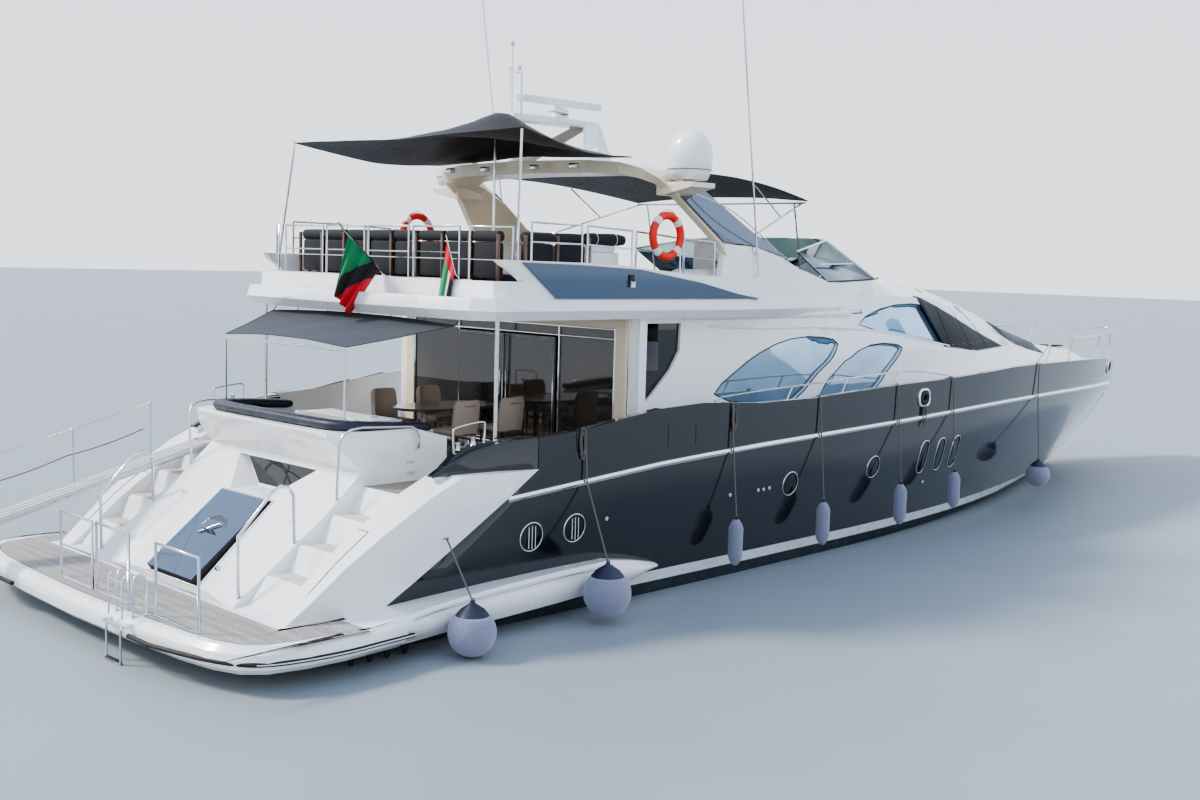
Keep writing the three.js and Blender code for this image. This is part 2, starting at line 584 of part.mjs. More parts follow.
const coverSide = sidePlate([[1850, 4330], [1960, 3470], [3750, 3330], [6560, 3330], [6560, 5200], [1850, 5200]],
  -3000, 3000);
const coverLayer = houseForm(-22, 1000, HOUSE_FORE_X - 10).subtract(houseForm(-4, 900, HOUSE_FORE_X));
const coverRoof = topPlate(wholeOutline([[0, 1500], [2300, 1480], [3150, 1250]]), 3000, 6000);
add('windscreen_cover', coverLayer.intersect(coverSide).subtract(coverRoof), 'cover');

// Aft bulkhead with two fixed lights and two sliding doors

const BULKHEAD_X = [-7460, HOUSE_AFT_X - 3];
const HEAD_Z = 3960;
const bulkheadFrame = crossPlate([[-2690, 1915], [2690, 1915], [2690, 4100], [-2690, 4100]], ...BULKHEAD_X)
  .subtract(box(-7600, -7300, -2480, 2480, 1960, HEAD_Z));
add('saloon_bulkhead', bulkheadFrame.subtract(hullGrown), 'darkGlass');

const lightsOutline = [[-2480 + GAP, 1961], [-1240, 1961], [-1240, 3780], [1240, 3780], [1240, 1961],
  [2480 - GAP, 1961], [2480 - GAP, HEAD_Z - GAP], [-2480 + GAP, HEAD_Z - GAP]];
add('bulkhead_lights', crossPlate(lightsOutline, -7436, -7424), 'darkGlass');

for (const [name, side] of [['port', 1], ['starboard', -1]]) {
  const [near, far] = [12, 12 + DOOR_WIDTH];
  const leaf = crossPlate([[near, 1975], [far, 1975], [far, 3765], [near, 3765]], -7512, -7476);
  const pull = rod([-7540, near + 70, 2750], [-7540, near + 70, 3150], 12)
    .add(rod([-7540, near + 70, 2770], [-7500, near + 70, 2770], 9))
    .add(rod([-7540, near + 70, 3130], [-7500, near + 70, 3130], 9));
  const door = leaf.add(pull);
  add(`saloon_door_${name}`, side > 0 ? door : mirrorY(door), 'darkGlass');
}

// Cockpit

const cushionSeat = box(-11540, -10960, -1735, 1735, SEAT_TOP + GAP, SEAT_TOP + 130)
  .add(bothSides(box(-10980, -10370, 1165, 1735, SEAT_TOP + GAP, SEAT_TOP + 130)));
const boltPlan = wholeOutline([[-11960, 1400], [-11880, 1640], [-11700, 1810], [-11500, 1870], [-10420, 1870],
  [-10420, 1600], [-11480, 1600], [-11540, 1500]]);
const boltShape = [[-12000, COAMING_TOP + GAP], [-12000, 2752], [-10900, 2752], [-10400, 2620], [-10400, 2530],
  [-10780, COAMING_TOP + GAP]];
const cushionBack = topPlate(boltPlan, 2500, 2752).intersect(sidePlate(boltShape, -2000, 2000))
  .add(box(-11540, -11440, -1600, 1600, SEAT_TOP + 100, COAMING_TOP + 100))
  .subtract(sidePlate([[-10800, 2450], [-10800, COAMING_TOP + GAP], [-10240, 2470 + GAP], [-10240, 2400]], -2000, 2000));
add('cockpit_cushions', cushionSeat.add(cushionBack), 'navy');

const TABLE = { x: -8700, y: 0, top: 2650, length: 1900, width: 1050 };
const CHAIR_PLACES = [[-450, -780, 1], [450, -780, 1], [-450, 780, -1], [450, 780, -1]];

function chair(x, y, facing) {
  const z = SOLE_Z + 8;
  const seat = box(x - 250, x + 250, y - 240, y + 240, z + 400, z + 470);
  const backY = y - facing * 230;
  const back = box(x - 250, x + 250, Math.min(backY, backY + facing * 60), Math.max(backY, backY + facing * 60),
    z + 400, z + 850);
  const legs = [[-1, -1], [1, -1], [-1, 1], [1, 1]].map(([sx, sy]) => rod(
    [x + sx * 215, y + sy * 205, z - 5], [x + sx * 215, y + sy * 205, z + 410], 22));
  return union([seat, back, ...legs]);
}

const floorPlate = box(-9850, -7650, -1250, 1250, SOLE_Z + GAP, SOLE_Z + 6);
const tablePieces = [
  topPlate(roundOutline([[-9650, 0], [-9300, 480], [-8100, 480], [-7750, 0], [-8100, -480], [-9300, -480]], 16),
    TABLE.top - 40, TABLE.top),
  rod([TABLE.x - 450, 0, SOLE_Z + 3], [TABLE.x - 450, 0, TABLE.top - 20], 60, 8),
  rod([TABLE.x + 450, 0, SOLE_Z + 3], [TABLE.x + 450, 0, TABLE.top - 20], 60, 8),
];
const chairs = CHAIR_PLACES.map(([dx, dy, facing]) => chair(TABLE.x + dx, TABLE.y + dy, facing));
add('dining_set', union([floorPlate, ...tablePieces, ...chairs]), 'taupe');

for (const [name, side] of [['port', 1], ['starboard', -1]]) {
  add(`cockpit_pole_${name}`, rod([-10180, side * 2900, PAD_TOP + GAP], [-10180, side * 2900, FLY_UNDER - GAP], 30, 10), 'steel');
}

// Flybridge deck and coaming

const flyHalf = [[-10750, 0], [-10700, 1800], [-10600, 2800], [-10350, 3080], [-5000, 3090], [-3000, 2760],
  [-1600, 2430], [FLY_FORE_X - GAP, 2200]];
const flyOutline = wholeOutline(flyHalf.slice(1)).concat([flyHalf[0]]);
const CREASE_Z = 4440;
const houseGrown = houseForm(-GAP, HOUSE_AFT_X, HOUSE_FORE_X + 20)
  .subtract(box(-9000, FLY_FORE_X - GAP, -4000, 4000, FLY_UNDER - 1, 6000));
const flyDeck = loft([[FLY_UNDER, -100], [FLY_TOP, 0]].map(([z, inset]) => (
  offsetOutline(flyOutline, inset).map(([x, y]) => [Math.min(x, FLY_FORE_X - GAP), y, z]))));
add('fly_deck', flyDeck, 'gelcoat');

const coamingHalf = [[-10335, 1900], [-10262, 2900], [-10100, 3020], [-5000, 3030], [-3000, 2690], [-1200, 2170],
  [300, 1790], [1400, 1150]];
const coamingOutline = [...wholeOutline(coamingHalf), [-10350, 0]];
coamingOutline.splice(coamingHalf.length, 0, [1850, 0]);
const coamingTop = [[-10450, 4950], [-8200, 4930], [-7200, 4860], [-6200, 4790], [-5720, 4780], [-5620, 5298],
  [-4780, 5258], [-3930, 5113], [-3300, 4930], [-1900, 4700], [-1150, 4695], [400, 4745], [1900, 4770]];
const belowCoamingTop = (lift) => sidePlate(
  [[-12000, 4000], [-12000, 4950 + lift], ...coamingTop.map(([x, z]) => [x, z + lift]), [3000, 4770 + lift], [3000, 4000]],
  -4000, 4000);

// Below the crease the moulding swells out to the deck's edge
const creaseBand = loft([[FLY_TOP + GAP, 0], [CREASE_Z, -55]].map(([z, inset]) => (
  offsetOutline(flyOutline, inset).map(([x, y]) => [x, y, z]))))
  .subtract(topPlate(offsetOutline(flyOutline, -330), 4000, 6000))
  .subtract(box(-2500, 100, -1850, 1850, 4000, 6000));
const AFT_COAMING_TOP = 4670;
const raisedAftEnd = sidePlate([[-10600, AFT_COAMING_TOP], [-9830, AFT_COAMING_TOP], [-10240, 4949], [-10240, 5400],
  [-10600, 5400]], -4000, 4000);
const coaming = topPlate(coamingOutline, FLY_TOP + GAP, 5400)
  .subtract(topPlate(offsetOutline(coamingOutline, -110), 4000, 6000))
  .intersect(belowCoamingTop(0))
  .add(creaseBand)
  .subtract(box(-11000, -9900, -2850, 2850, AFT_COAMING_TOP, 6000))
  .subtract(raisedAftEnd)
  .subtract(houseGrown);
const whip = rod([-4800, 3052, 4800], [-5803, 3052, 11300], 16);
const whipClamp = box(-4895, -4835, 2950, 3052, 5140, 5200).add(box(-4840, -4780, 2950, 3052, 4800, 4860));
add('fly_coaming', coaming.add(bothSides(whip.add(whipClamp))), 'gelcoat');

const panelOutline = [[-9880, 4935], [-8790, 4915], [-7560, 4870], [-6200, 4690], [-5300, 4520], [-4700, CREASE_Z + 2],
  [-9240, CREASE_Z + 2]];
const sidePanel = sidePlate(panelOutline, 2940, 3060).subtract(topPlate(offsetOutline(coamingOutline, GAP), 4000, 6000));
add('fly_side_panel_port', sidePanel, 'slate');
add('fly_side_panel_starboard', mirrorY(sidePanel), 'slate');

// Columns: base x, y, z, top x, y, z of the flybridge windscreen, port half from aft to the middle
const screenRows = [
  [-1420, 2010, 4700, -2400, 2000, 5240],
  [720, 1600, 4755, -1000, 1600, 5470],
  [1400, 1000, 4780, -320, 1000, 5515],
  [1740, 0, 4785, 180, 0, 5540],
];
const screenWhole = [...screenRows, ...screenRows.slice(0, -1).reverse().map(
  ([x, y, z, tx, ty, tz]) => [x, -y, z, tx, -ty, tz])];
const screen = loft(screenWhole.map(([x, y, z, tx, ty, tz]) => [
  [x, y, z], [x - 26, y * 0.99, z], [tx - 26, ty * 0.99, tz], [tx, ty, tz]]));
add('fly_windscreen', screen.subtract(belowCoamingTop(GAP)).subtract(houseGrown), 'tint');

const consoleOutline = [[-1750, FLY_TOP + GAP], [-900, FLY_TOP + GAP], [-1050, 5050], [-1250, 5120], [-1650, 4980]];
add('helm_console', sidePlate(consoleOutline, -1500, 300), 'gelcoat');

const flySofa = box(-9700, -8900, -2500, 2500, FLY_TOP + GAP, 4720)
  .add(box(-9850, -9600, -2500, 2500, FLY_TOP + GAP, 5050))
  .add(box(-9700, -7200, 1700, 2500, FLY_TOP + GAP, 4720))
  .add(box(-9850, -7200, 2400, 2650, FLY_TOP + GAP, 5050));
add('fly_sofa', flySofa, 'canvas');

// Radar arch, mast, scanner and domes

// The arch leans inboard as it climbs, and its side narrows with the coaming below
const ARCH_TOP = 6545;
const ARCH_LEAN = 0.58;
const ARCH_TAPER = 0.15;
const archSideY = (x, z) => 2990 - (x + 5700) * ARCH_TAPER - (z - 5300) * ARCH_LEAN;

// Columns: x of the aft edge, y, z, length fore and aft, and thickness
const archTable = [
  [-5640, archSideY(-5640, 5000), 5000, 1440, 130],
  [-5700, archSideY(-5700, 5300), 5300, 1500, 130],
  [-5860, archSideY(-5860, 5450), 5450, 1330, 130],
  [-6400, archSideY(-6400, 6010), 6010, 980, 140],
  [-6740, archSideY(-6740, 6260), 6260, 860, 150],
  [-6960, 2410, 6405, 800, 170],
  [-7120, 2090, 6490, 860, 185],
  [-7260, 1500, 6530, 930, 195],
  [-7380, 0, ARCH_TOP, 1000, 200],
];
const archHalf = archTable.map(([x, y, z, length, deep], i) => {
  const [, y0, z0] = archTable[Math.max(i - 1, 0)];
  const [, y1, z1] = archTable[Math.min(i + 1, archTable.length - 1)];
  const run = Math.hypot(y1 - y0, z1 - z0);
  const [outY, outZ] = y === 0 ? [0, 1] : [(z1 - z0) / run, (y0 - y1) / run];
  const foreY = z < 6300 ? archSideY(x + length, z) : y * (1 - ARCH_TAPER * 0.2);
  return [[x, y, z], [x + length, foreY, z], [x + length - 60, foreY - outY * deep, z - outZ * deep],
    [x + 40, y - outY * deep, z - outZ * deep]];
});
const archRings = [...archHalf, ...archHalf.slice(0, -1).reverse().map((ring) => ring.map(([x, y, z]) => [x, -y, z]))];
const arch = loft(archRings).subtract(belowCoamingTop(GAP));
const bracket = crossPlate([[2400, 6010], [2560, 6010], [3130, 6130], [3130, 6205], [2400, 6205]], -6580, -6040);
add('radar_arch', arch.add(bothSides(bracket)), 'cream');

// The blade is a swept fin outside the arch's leg
const bladeOutline = [[-6360, 6020], [-5650, 6170], [-4670, 5550], [-3720, 5072], [-3930, 5140], [-4780, 5285], [-5620, 5330]];
const bracketRoom = box(-6580 - GAP, -6040 + GAP, 2400, 3140, 6010 - GAP, 6205 + GAP);
const blade = reshaped(sidePlate(bladeOutline, 0, 45), (x, y, z) => [x, y + GAP + archSideY(x, z), z])
  .subtract(bracketRoom);
add('arch_blade_port', blade, 'slate');
add('arch_blade_starboard', mirrorY(blade), 'slate');

// The mast's table stands on two plates that splay to the sides
const mastTable = topPlate([[-7500, -90], [-7100, -170], [-5700, -170], [-5560, -90], [-5560, 90], [-5700, 170],
  [-7100, 170], [-7500, 90]], 7190, 7300);
const mastLeg = loft([[ARCH_TOP + GAP, -6800, -6240, 1060], [7240, -5950, -5600, 130]].map(([z, x0, x1, y]) => [
  [x0, y - 40, z], [x1, y - 40, z], [x1, y + 40, z], [x0, y + 40, z]]));
const lightHoop = pipe([[-7360, -110, 7295], [-7400, -150, 7950], [-7400, 150, 7950], [-7360, 110, 7295]], 18);
const mast = union([mastTable, bothSides(mastLeg), lightHoop, rod([-7460, 0, 7290], [-7480, 0, 8350], 18),
  rod([-6400, 0, 7290], [-6400, 0, 7450], 150, 12)]);
add('mast', mast, 'gelcoat');
const scanner = box(-7300, -5500, -75, 75, 7520, 7620).add(rod([-6400, 0, 7456], [-6400, 0, 7540], 90, 12));
add('radar_scanner', scanner, 'gelcoat');

const DOME = { x: -6310, y: 2830, z: 6250, r: 360 };
const domeProfile = [[0, 0], [290, 0], [335, 120], [DOME.r, 330], [330, 520], [230, 680], [110, 750], [0, 770]];
const dome = turned(domeProfile, [DOME.x, DOME.y, DOME.z], 12)
  .add(rod([DOME.x, DOME.y, 6205 + GAP], [DOME.x, DOME.y, DOME.z + 5], 90, 8));
add('satellite_dome_port', dome, 'gelcoat');
add('satellite_dome_starboard', mirrorY(dome), 'gelcoat');

// Awnings, as thin sheets

// A sheet through rows of points, with its underside a little lower
function sheet(rows, thickness) {
  const ring = (row) => [...row, ...row.map(([x, y, z]) => [x, y, z - thickness]).reverse()];
  return loft(rows.map(ring));
}

const SHEET = 20;
// Columns: x, middle z, edge z and half width
const awningTable = [[-9720, 6700, 6760, 2790], [-9200, 6830, 6672, 2710], [-8700, 6970, 6590, 2620], [-8200, 7130, 6530, 2550],
  [-7690, 7310, 6530, 2480], [-7380, 6980, 6545, 2420], [-7080, 6645, 6560, 2340]];
const awningRows = awningTable.map(([x, middle, edge, half]) => [-1, -0.66, -0.33, 0, 0.33, 0.66, 1].map(
  (s) => [x, s * half, edge + (middle - edge) * (1 - Math.abs(s)) ** 1.3]));
add('fly_awning', sheet(awningRows, SHEET), 'canvas');

const aftAwningRows = [[-11690, 1560, 3740], [-11000, 1950, 3900], [-10420, 2300, 4050]].map(([x, half, z]) => (
  [-1, -0.5, 0, 0.5, 1].map((s) => [x, s * half, z + 60 * (1 - s * s)])));
add('cockpit_awning', sheet(aftAwningRows, SHEET), 'awning');

const biminiRows = [[-5560, 2280, 6430], [-4500, 2300, 6400], [-3400, 2230, 6300], [-2250, 2080, 6140]].map(([x, half, z]) => (
  [-1, -0.5, 0, 0.5, 1].map((s) => [x, s * half, z + 90 * (1 - s * s)])));
add('bimini', sheet(biminiRows, SHEET), 'canvas');

const hoop = pipe([[-11690, 1545, COAMING_TOP + 135], [-11690, 1545, 3690], [-11690, -1545, 3690],
  [-11690, -1545, COAMING_TOP + 135]], 16);
add('cockpit_awning_hoop', hoop, 'steel');
const BIMINI_BAR_Z = 6096;
const biminiBar = rod([-2280, -2050, BIMINI_BAR_Z], [-2280, 2050, BIMINI_BAR_Z], 18);
const biminiPole = rod([-1880, 1800, FLY_TOP + GAP], [-2280, 1800, BIMINI_BAR_Z], 16);
const biminiStay = pipe([[-2285, 1980, BIMINI_BAR_Z], [-4200, 2450, 5470], [-4200, 2450, FLY_TOP + GAP]], 16);
const biminiBow = rod([-3960, 2230, 6320], [-3180, 2200, 5811], 14);
const biminiSide = union([biminiPole, biminiStay, biminiBow]);
const flyDeckSpace = box(-11000, 3000, -4000, 4000, 3000, FLY_TOP + GAP);
add('bimini_frame', union([bothSides(biminiSide), biminiBar]).subtract(flyDeckSpace), 'steel');
add('awning_centre_pole', rod([-7800, 0, FLY_TOP + GAP], [-7800, 0, 7200], 20, 8), 'steel');

// Stainless rails

const FLY_RAIL_TOP = 5400;
const aftRailSpans = [[-2170, -1140], [-1030, -50], [50, 1030], [1140, 2170]];
const sideRailX = [-9640, -8680, -8570, -7650, -7570, -6590, -6510, -5790];
const aftRails = aftRailSpans.map(([y0, y1]) => guard(
  [-10265, y0, 4675], [-10265, y1, 4675], FLY_RAIL_TOP - 4675, 16));
const cornerRail = pipe([[-10265, 2390, 4675], [-10265, 2390, FLY_RAIL_TOP], [-9960, 2930, FLY_RAIL_TOP],
  [-9960, 2930, 4950]], 16);
function railFoot(x) {
  const i = coamingTop.findIndex(([px]) => px > x);
  const [[x0, z0], [x1, z1]] = [coamingTop[i - 1], coamingTop[i]];
  return z0 + ((x - x0) / (x1 - x0)) * (z1 - z0) + 6;
}
const sideRails = [0, 2, 4, 6].flatMap((i) => [1, -1].map((side) => guard(
  [sideRailX[i], side * 2950, railFoot(sideRailX[i])],
  [sideRailX[i + 1], side * 2950, railFoot(sideRailX[i + 1])], FLY_RAIL_TOP - 4870, 16)));
const awningPoles = bothSides(rod([-9900, 2950, 4956], [-9720, 2790, 6735], 18));
const railStrip = topPlate(offsetOutline(coamingOutline, -25), 4500, 5400)
  .subtract(topPlate(offsetOutline(coamingOutline, -85), 4000, 6000))
  .intersect(belowCoamingTop(12))
  .subtract(belowCoamingTop(GAP))
  .intersect(box(-11000, -5735, -4000, 4000, 4000, 6000));
const aftStrip = box(-10293, -10243, -2420, 2420, 4670 + GAP, 4682);
add('fly_rail', union([...aftRails, bothSides(cornerRail), ...sideRails, awningPoles, aftStrip, railStrip]), 'steel');

const RAIL_INSET = 88;
const railFootAt = (x) => [x, rowAt(hullTable, x)[8] - RAIL_INSET, rowAt(hullTable, x)[9] - 10];
const railAt = (x, height) => {
  const [, y, z] = railFootAt(x);
  return [x, y, z + height];
};
const sideRailRun = [[-6000, 60], [-5000, 205], [-3400, 235], [-2650, 240], [-1050, 235], [-300, 190], [700, 60]];
const sideRail = pipe([railFootAt(-6150), ...sideRailRun.map(([x, height]) => railAt(x, height)), railFootAt(900)], 17)
  .add(union([-4200, -2650, -1050].map((x) => rod(railFootAt(x - 160), railAt(x, 232), 13))));
const pulpitRun = [[5600, 460], [7000, 500], [9500, 560], [11200, 640], [12500, 720], [13700, 800]];
const pulpit = pipe([railFootAt(4700), ...pulpitRun.map(([x, height]) => railAt(x, height)), [14450, 0, 3520]], 17)
  .add(union(pulpitRun.map(([x, height]) => rod(railFootAt(x - 260), railAt(x, height), 13))));
const capStrip = loft(HULL_STATIONS.filter((x) => x > -6400 && x < 5600).map((x) => {
  const [, y, z] = railFootAt(x);
  return [[x, y - 14, z + 10 + GAP], [x, y + 14, z + 10 + GAP], [x, y + 14, z + 16], [x, y - 14, z + 16]];
}));
const bowRail = union([sideRail, pulpit, capStrip]);
add('bow_rail', bowRail.add(mirrorY(bowRail)).subtract(hullForm(GAP, false)), 'steel');

const GUARD_X = -14480;
const platformGuards = [[-2700, -1670], [-960, -80], [50, 980]].map(([y0, y1]) => guard(
  [GUARD_X, y0, PLATFORM_TOP + 5], [GUARD_X, y1, PLATFORM_TOP + 5], 890));
const platformStrip = box(GUARD_X - 30, GUARD_X + 30, -2730, 1010, PLATFORM_TOP + GAP, PLATFORM_TOP + 8);
const HOOP_Y = [-1580, -1160];
const ladderHoops = HOOP_Y.map((y) => pipe([[-14730, y, PLATFORM_TOP + 5], [-14740, y, 980], [-14700, y, 1050],
  [-14640, y, 1060], [-14580, y, 1030], [-14560, y, 970], [-14560, y, PLATFORM_TOP + 5]], 15, 8));
const hoopPlates = HOOP_Y.map((y) => box(-14755, GUARD_X, y - 25, y + 25, PLATFORM_TOP + GAP, PLATFORM_TOP + 8));
add('platform_rails', union([...platformGuards, platformStrip, ...ladderHoops, ...hoopPlates]), 'steel');

// The lower rail stands on the slope's edge and follows the stairs
const STAIR_RAIL = 22;
const stairRail = pipe([[-13490, 1895, 560], [-13500, 1895, 1440], [-12990, 1895, 1970], [-12890, 1895, 2020],
  [-12780, 1895, 1990], [-12700, 1895, 1880], [-12680, 1895, 1200]], STAIR_RAIL, 8);
const coamingRail = pipe([[-12050, 1900, 1600], [-12070, 1975, 2500], [-12010, 1990, 2620], [-11900, 2000, 2680],
  [-11720, 2000, 2700], [-10920, 2000, 2660], [-10820, 2000, 2610], [-10785, 2000, 2520], [-10785, 2000, 2370],
  [-10785, STAIR_IN - 15, 2340]], RAIL, 8);
const sternRoom = union([[0, 0, 0], [0, 0, GAP], [-GAP, 0, 0], [0, GAP, 0], [0, -GAP, 0]].map((by) => stern.translate(by)));
add('stair_rail_port', stairRail.subtract(sternRoom), 'steel');
add('stair_rail_starboard', mirrorY(stairRail).subtract(sternRoom), 'steel');
add('coaming_rail_port', coamingRail.subtract(sternRoom), 'steel');
add('coaming_rail_starboard', mirrorY(coamingRail).subtract(sternRoom), 'steel');

// Foredeck windlass and the anchor in its roller

const windlassZ = 2175;
const windlass = union([
  box(13150, 14560, -95, 95, windlassZ, windlassZ + 40),
  rod([13350, -150, windlassZ + 150], [13350, 150, windlassZ + 150], 70, 8),
  box(13270, 13430, -80, 80, windlassZ + 30, windlassZ + 150),
  rod([14500, -60, windlassZ + 90], [14500, 60, windlassZ + 90], 45, 8),
  box(14470, 14530, -60, 60, windlassZ + 30, windlassZ + 90),
]);
add('windlass', windlass.subtract(hullForm(GAP, false)), 'steel');

// Lifebuoys on the flybridge rail, and the raft canisters behind them

for (const [name, side] of [['port', 1], ['starboard', -1]]) {
  const ring = new THREE.TorusGeometry(305, 62, 6, 16);
  ring.rotateX(Math.PI / 2);
  ring.translate(-7000, side * 3035, 5375);
  add(`lifebuoy_${name}`, toSolid(ring), 'ring');
}
const raft = rod([-6350, 2620, 4700], [-5300, 2620, 4700], 190, 10)
  .add(box(-6250, -5400, 2500, 2740, FLY_TOP + GAP, 4600));
add('raft_canister_port', raft.intersect(box(-7000, -5000, 2000, 2885, 4000, 5000)), 'gelcoat');
add('raft_canister_starboard', mirrorY(raft.intersect(box(-7000, -5000, 2000, 2885, 4000, 5000))), 'gelcoat');

// Gangway hinged on the port side of the sole, sloping aft over the stairs

const GANGWAY = { y0: 2120, y1: 2620, hingeX: -11580, hingeZ: 2010, length: 3810, fall: 0.265 };
const alongGangway = (s, up, y) => [
  GANGWAY.hingeX - s * Math.cos(Math.atan(GANGWAY.fall)), y,
  GANGWAY.hingeZ - s * Math.sin(Math.atan(GANGWAY.fall)) + up,
];
const gangwayStringer = (y) => {
  const [a, b] = [alongGangway(0, 0, y), alongGangway(GANGWAY.length, 0, y)];
  return sidePlate([[a[0], a[2] - 35], [b[0], b[2] - 35], [b[0], b[2] + 35], [a[0], a[2] + 35]], y - 22, y + 22);
};
const [gangwayRoot, gangwayTip] = [alongGangway(60, 0, 0), alongGangway(GANGWAY.length - 20, 0, 0)];
const gangwayTread = sidePlate([[gangwayRoot[0], gangwayRoot[2]], [gangwayTip[0], gangwayTip[2]],
  [gangwayTip[0], gangwayTip[2] + 28], [gangwayRoot[0], gangwayRoot[2] + 28]], GANGWAY.y0 + 10, GANGWAY.y1 - 10);
const gangwayPosts = [810, 2060, 3310].map((s) => rod(
  alongGangway(s, 0, GANGWAY.y1 - 5), alongGangway(s, 850, GANGWAY.y1 - 5), 13));
const gangwayRope = rod(alongGangway(790, 830, GANGWAY.y1 - 5), alongGangway(3330, 830, GANGWAY.y1 - 5), 10);
const gangwayAxle = rod(alongGangway(0, 0, GANGWAY.y0), alongGangway(0, 0, GANGWAY.y1), 28, 8);
add('passerelle', union([gangwayStringer(GANGWAY.y0 + 22), gangwayStringer(GANGWAY.y1 - 22), gangwayTread,
  ...gangwayPosts, gangwayRope, gangwayAxle]), 'steel');

// Boarding ladder hinged at the platform's edge

const ladderPin = rod([LADDER.x, pinEnds[0], LADDER.top], [LADDER.x, pinEnds[1], LADDER.top], LADDER.pin, 12);
const ladderSides = [LADDER.y0, LADDER.y1].map((y) => rod([LADDER.x, y, LADDER.top], [LADDER.x, y, LADDER.foot], 17));
const ladderRungs = [0, 1, 2, 3].map((i) => {
  const z = LADDER.top - 330 * i - (i > 0 ? 120 : 0);
  return box(LADDER.x - 30, LADDER.x + 20, LADDER.y0, LADDER.y1, z - 14, z + 14);
});
add('boarding_ladder', union([ladderPin, ...ladderSides, ...ladderRungs]), 'steel');

// Propellers and rudders

function propeller(y, hand) {
  const hub = turned([[0, -150], [70, -110], [95, 0], [85, 110], [0, 112]], [0, 0, 0], 8);
  const blades = [0, 1, 2, 3].map((i) => {
    const shape = new THREE.Shape([[60, -70], [220, -150], [370, -110], [PROP_RADIUS, 0], [370, 110], [220, 150],
      [60, 70]].map(([u, v]) => new THREE.Vector2(u, v)));
    const blade = new THREE.ExtrudeGeometry(shape, { depth: 22, bevelEnabled: false });
    blade.translate(0, 0, -11);
    blade.rotateX(hand * 0.62);
    blade.rotateZ((i * Math.PI) / 2);
    return toSolid(blade);
  });
  const angle = Math.atan(SHAFT_FALL);
  const centre = shaftPoint(SHAFT_END - 125, y);
  return reshaped(union([hub, ...blades]), (px, py, pz) => [
    centre[0] + pz * Math.cos(angle) - px * Math.sin(angle), centre[1] + py,
    centre[2] + pz * Math.sin(angle) + px * Math.cos(angle)], true);
}
add('propeller_port', propeller(SHAFT_Y, 1), 'bronze');
add('propeller_starboard', propeller(-SHAFT_Y, -1), 'bronze');

const RUDDER_X = -12620;
const rudderPlan = [[-12860, 0], [-12620, 28], [-12460, 24], [-12420, 0], [-12460, -24], [-12620, -28]];
for (const [name, side] of [['port', 1], ['starboard', -1]]) {
  const blade = topPlate(rudderPlan.map(([x, y]) => [x, y + side * SHAFT_Y]), -1750, -900);
  const stock = rod([RUDDER_X, side * SHAFT_Y, -905], [RUDDER_X, side * SHAFT_Y, -760], 26, 8);
  add(`rudder_${name}`, blade.add(stock), 'bronze');
}

// Fenders hung on the starboard side from a strip along the bulwark

// Columns: x, y, centre z, radius, half length (0 for a ball)
const fenderTable = [
  [-11360, -3995, 300, 285, 0],
  [-9000, -3915, 430, 285, 0],
  [-5850, -3640, 690, 115, 300],
  [-3560, -3640, 720, 115, 300],
  [-1200, -3620, 790, 115, 300],
  [730, -3560, 850, 115, 280],
  [4620, -3260, 740, 250, 0],
];
const fenderSolids = fenderTable.map(([x, y, z, radius, half]) => {
  const top = half === 0 ? radius : half + radius * 0.6;
  const profile = half === 0
    ? [[0, -radius], [radius * 0.7, -radius * 0.7], [radius, 0], [radius * 0.75, radius * 0.65], [radius * 0.25, radius * 1.1],
      [0, radius * 1.2]]
    : [[0, -top], [radius * 0.7, -half], [radius, -half * 0.7], [radius, half * 0.7], [radius * 0.7, half], [0, top]];
  return turned(profile, [x, y, z], 10);
});
function bulwarkTopAt(x) {
  if (x < PAD_FORE_X - 10) return [3265, PAD_TOP];
  const i = HULL_STATIONS.findIndex((station) => station > x);
  const [x0, x1] = [HULL_STATIONS[i - 1], HULL_STATIONS[i]];
  const [row0, row1] = [rowAt(hullTable, x0), rowAt(hullTable, x1)];
  return [8, 9].map((k) => row0[k] + ((x - x0) / (x1 - x0)) * (row1[k] - row0[k]));
}
const fenderLines = fenderTable.map(([x, y, z, radius, half]) => {
  const [topY, topZ] = bulwarkTopAt(x);
  const low = z + (half === 0 ? radius : half);
  const overY = Math.min(-(topY + 20), y + 10);
  return pipe([[x, -(topY - 28), topZ + 14], [x, overY, topZ + 16], [x, y, low]], 9, 4);
});
const stripStations = [PAD_FORE_X - 30, ...HULL_STATIONS.filter((x) => x > PAD_FORE_X + 100 && x < 6000)];
const stripLoft = loft(stripStations.map((x) => {
  const [, , , , , , , , topY, topZ] = rowAt(hullTable, x);
  const [outer, inner] = [5 - topY, 35 - topY];
  return [[x, outer, topZ + 1], [x, inner, topZ + 1], [x, inner, topZ + 14], [x, outer, topZ + 14]];
}));
const sternStrip = box(-11400, PAD_FORE_X + 10, -3260, -3200, PAD_TOP + GAP, PAD_TOP + 12)
  .add(box(PAD_FORE_X - 30, PAD_FORE_X - GAP, -3400, -3200, PAD_TOP + GAP, 2620));
const hullOnly = hullGrown.subtract(sternRegion(0));
add('fenders', union([stripLoft, sternStrip, ...fenderSolids, ...fenderLines]).subtract(hullOnly), 'fender');

// Flag at the stern on its staff, and a small flag by the cockpit

const staff = rod([-10322, -540, 4690], [-11050, -400, 5420], 14)
  .add(box(-10344, -10297, -580, -500, 4670 + GAP, 4700));
add('ensign_staff', staff, 'steel');
const ensign = [[-10800, -430, 5130], [-11030, -390, 5370], [-11010, -60, 4780], [-10830, -100, 4180]];
add('ensign', sheet([[ensign[1], ensign[2]], [ensign[0], ensign[3]]].map((row) => row.map(([x, y, z]) => [x, y + 30, z])), 8),
  'flag');

export default yacht;
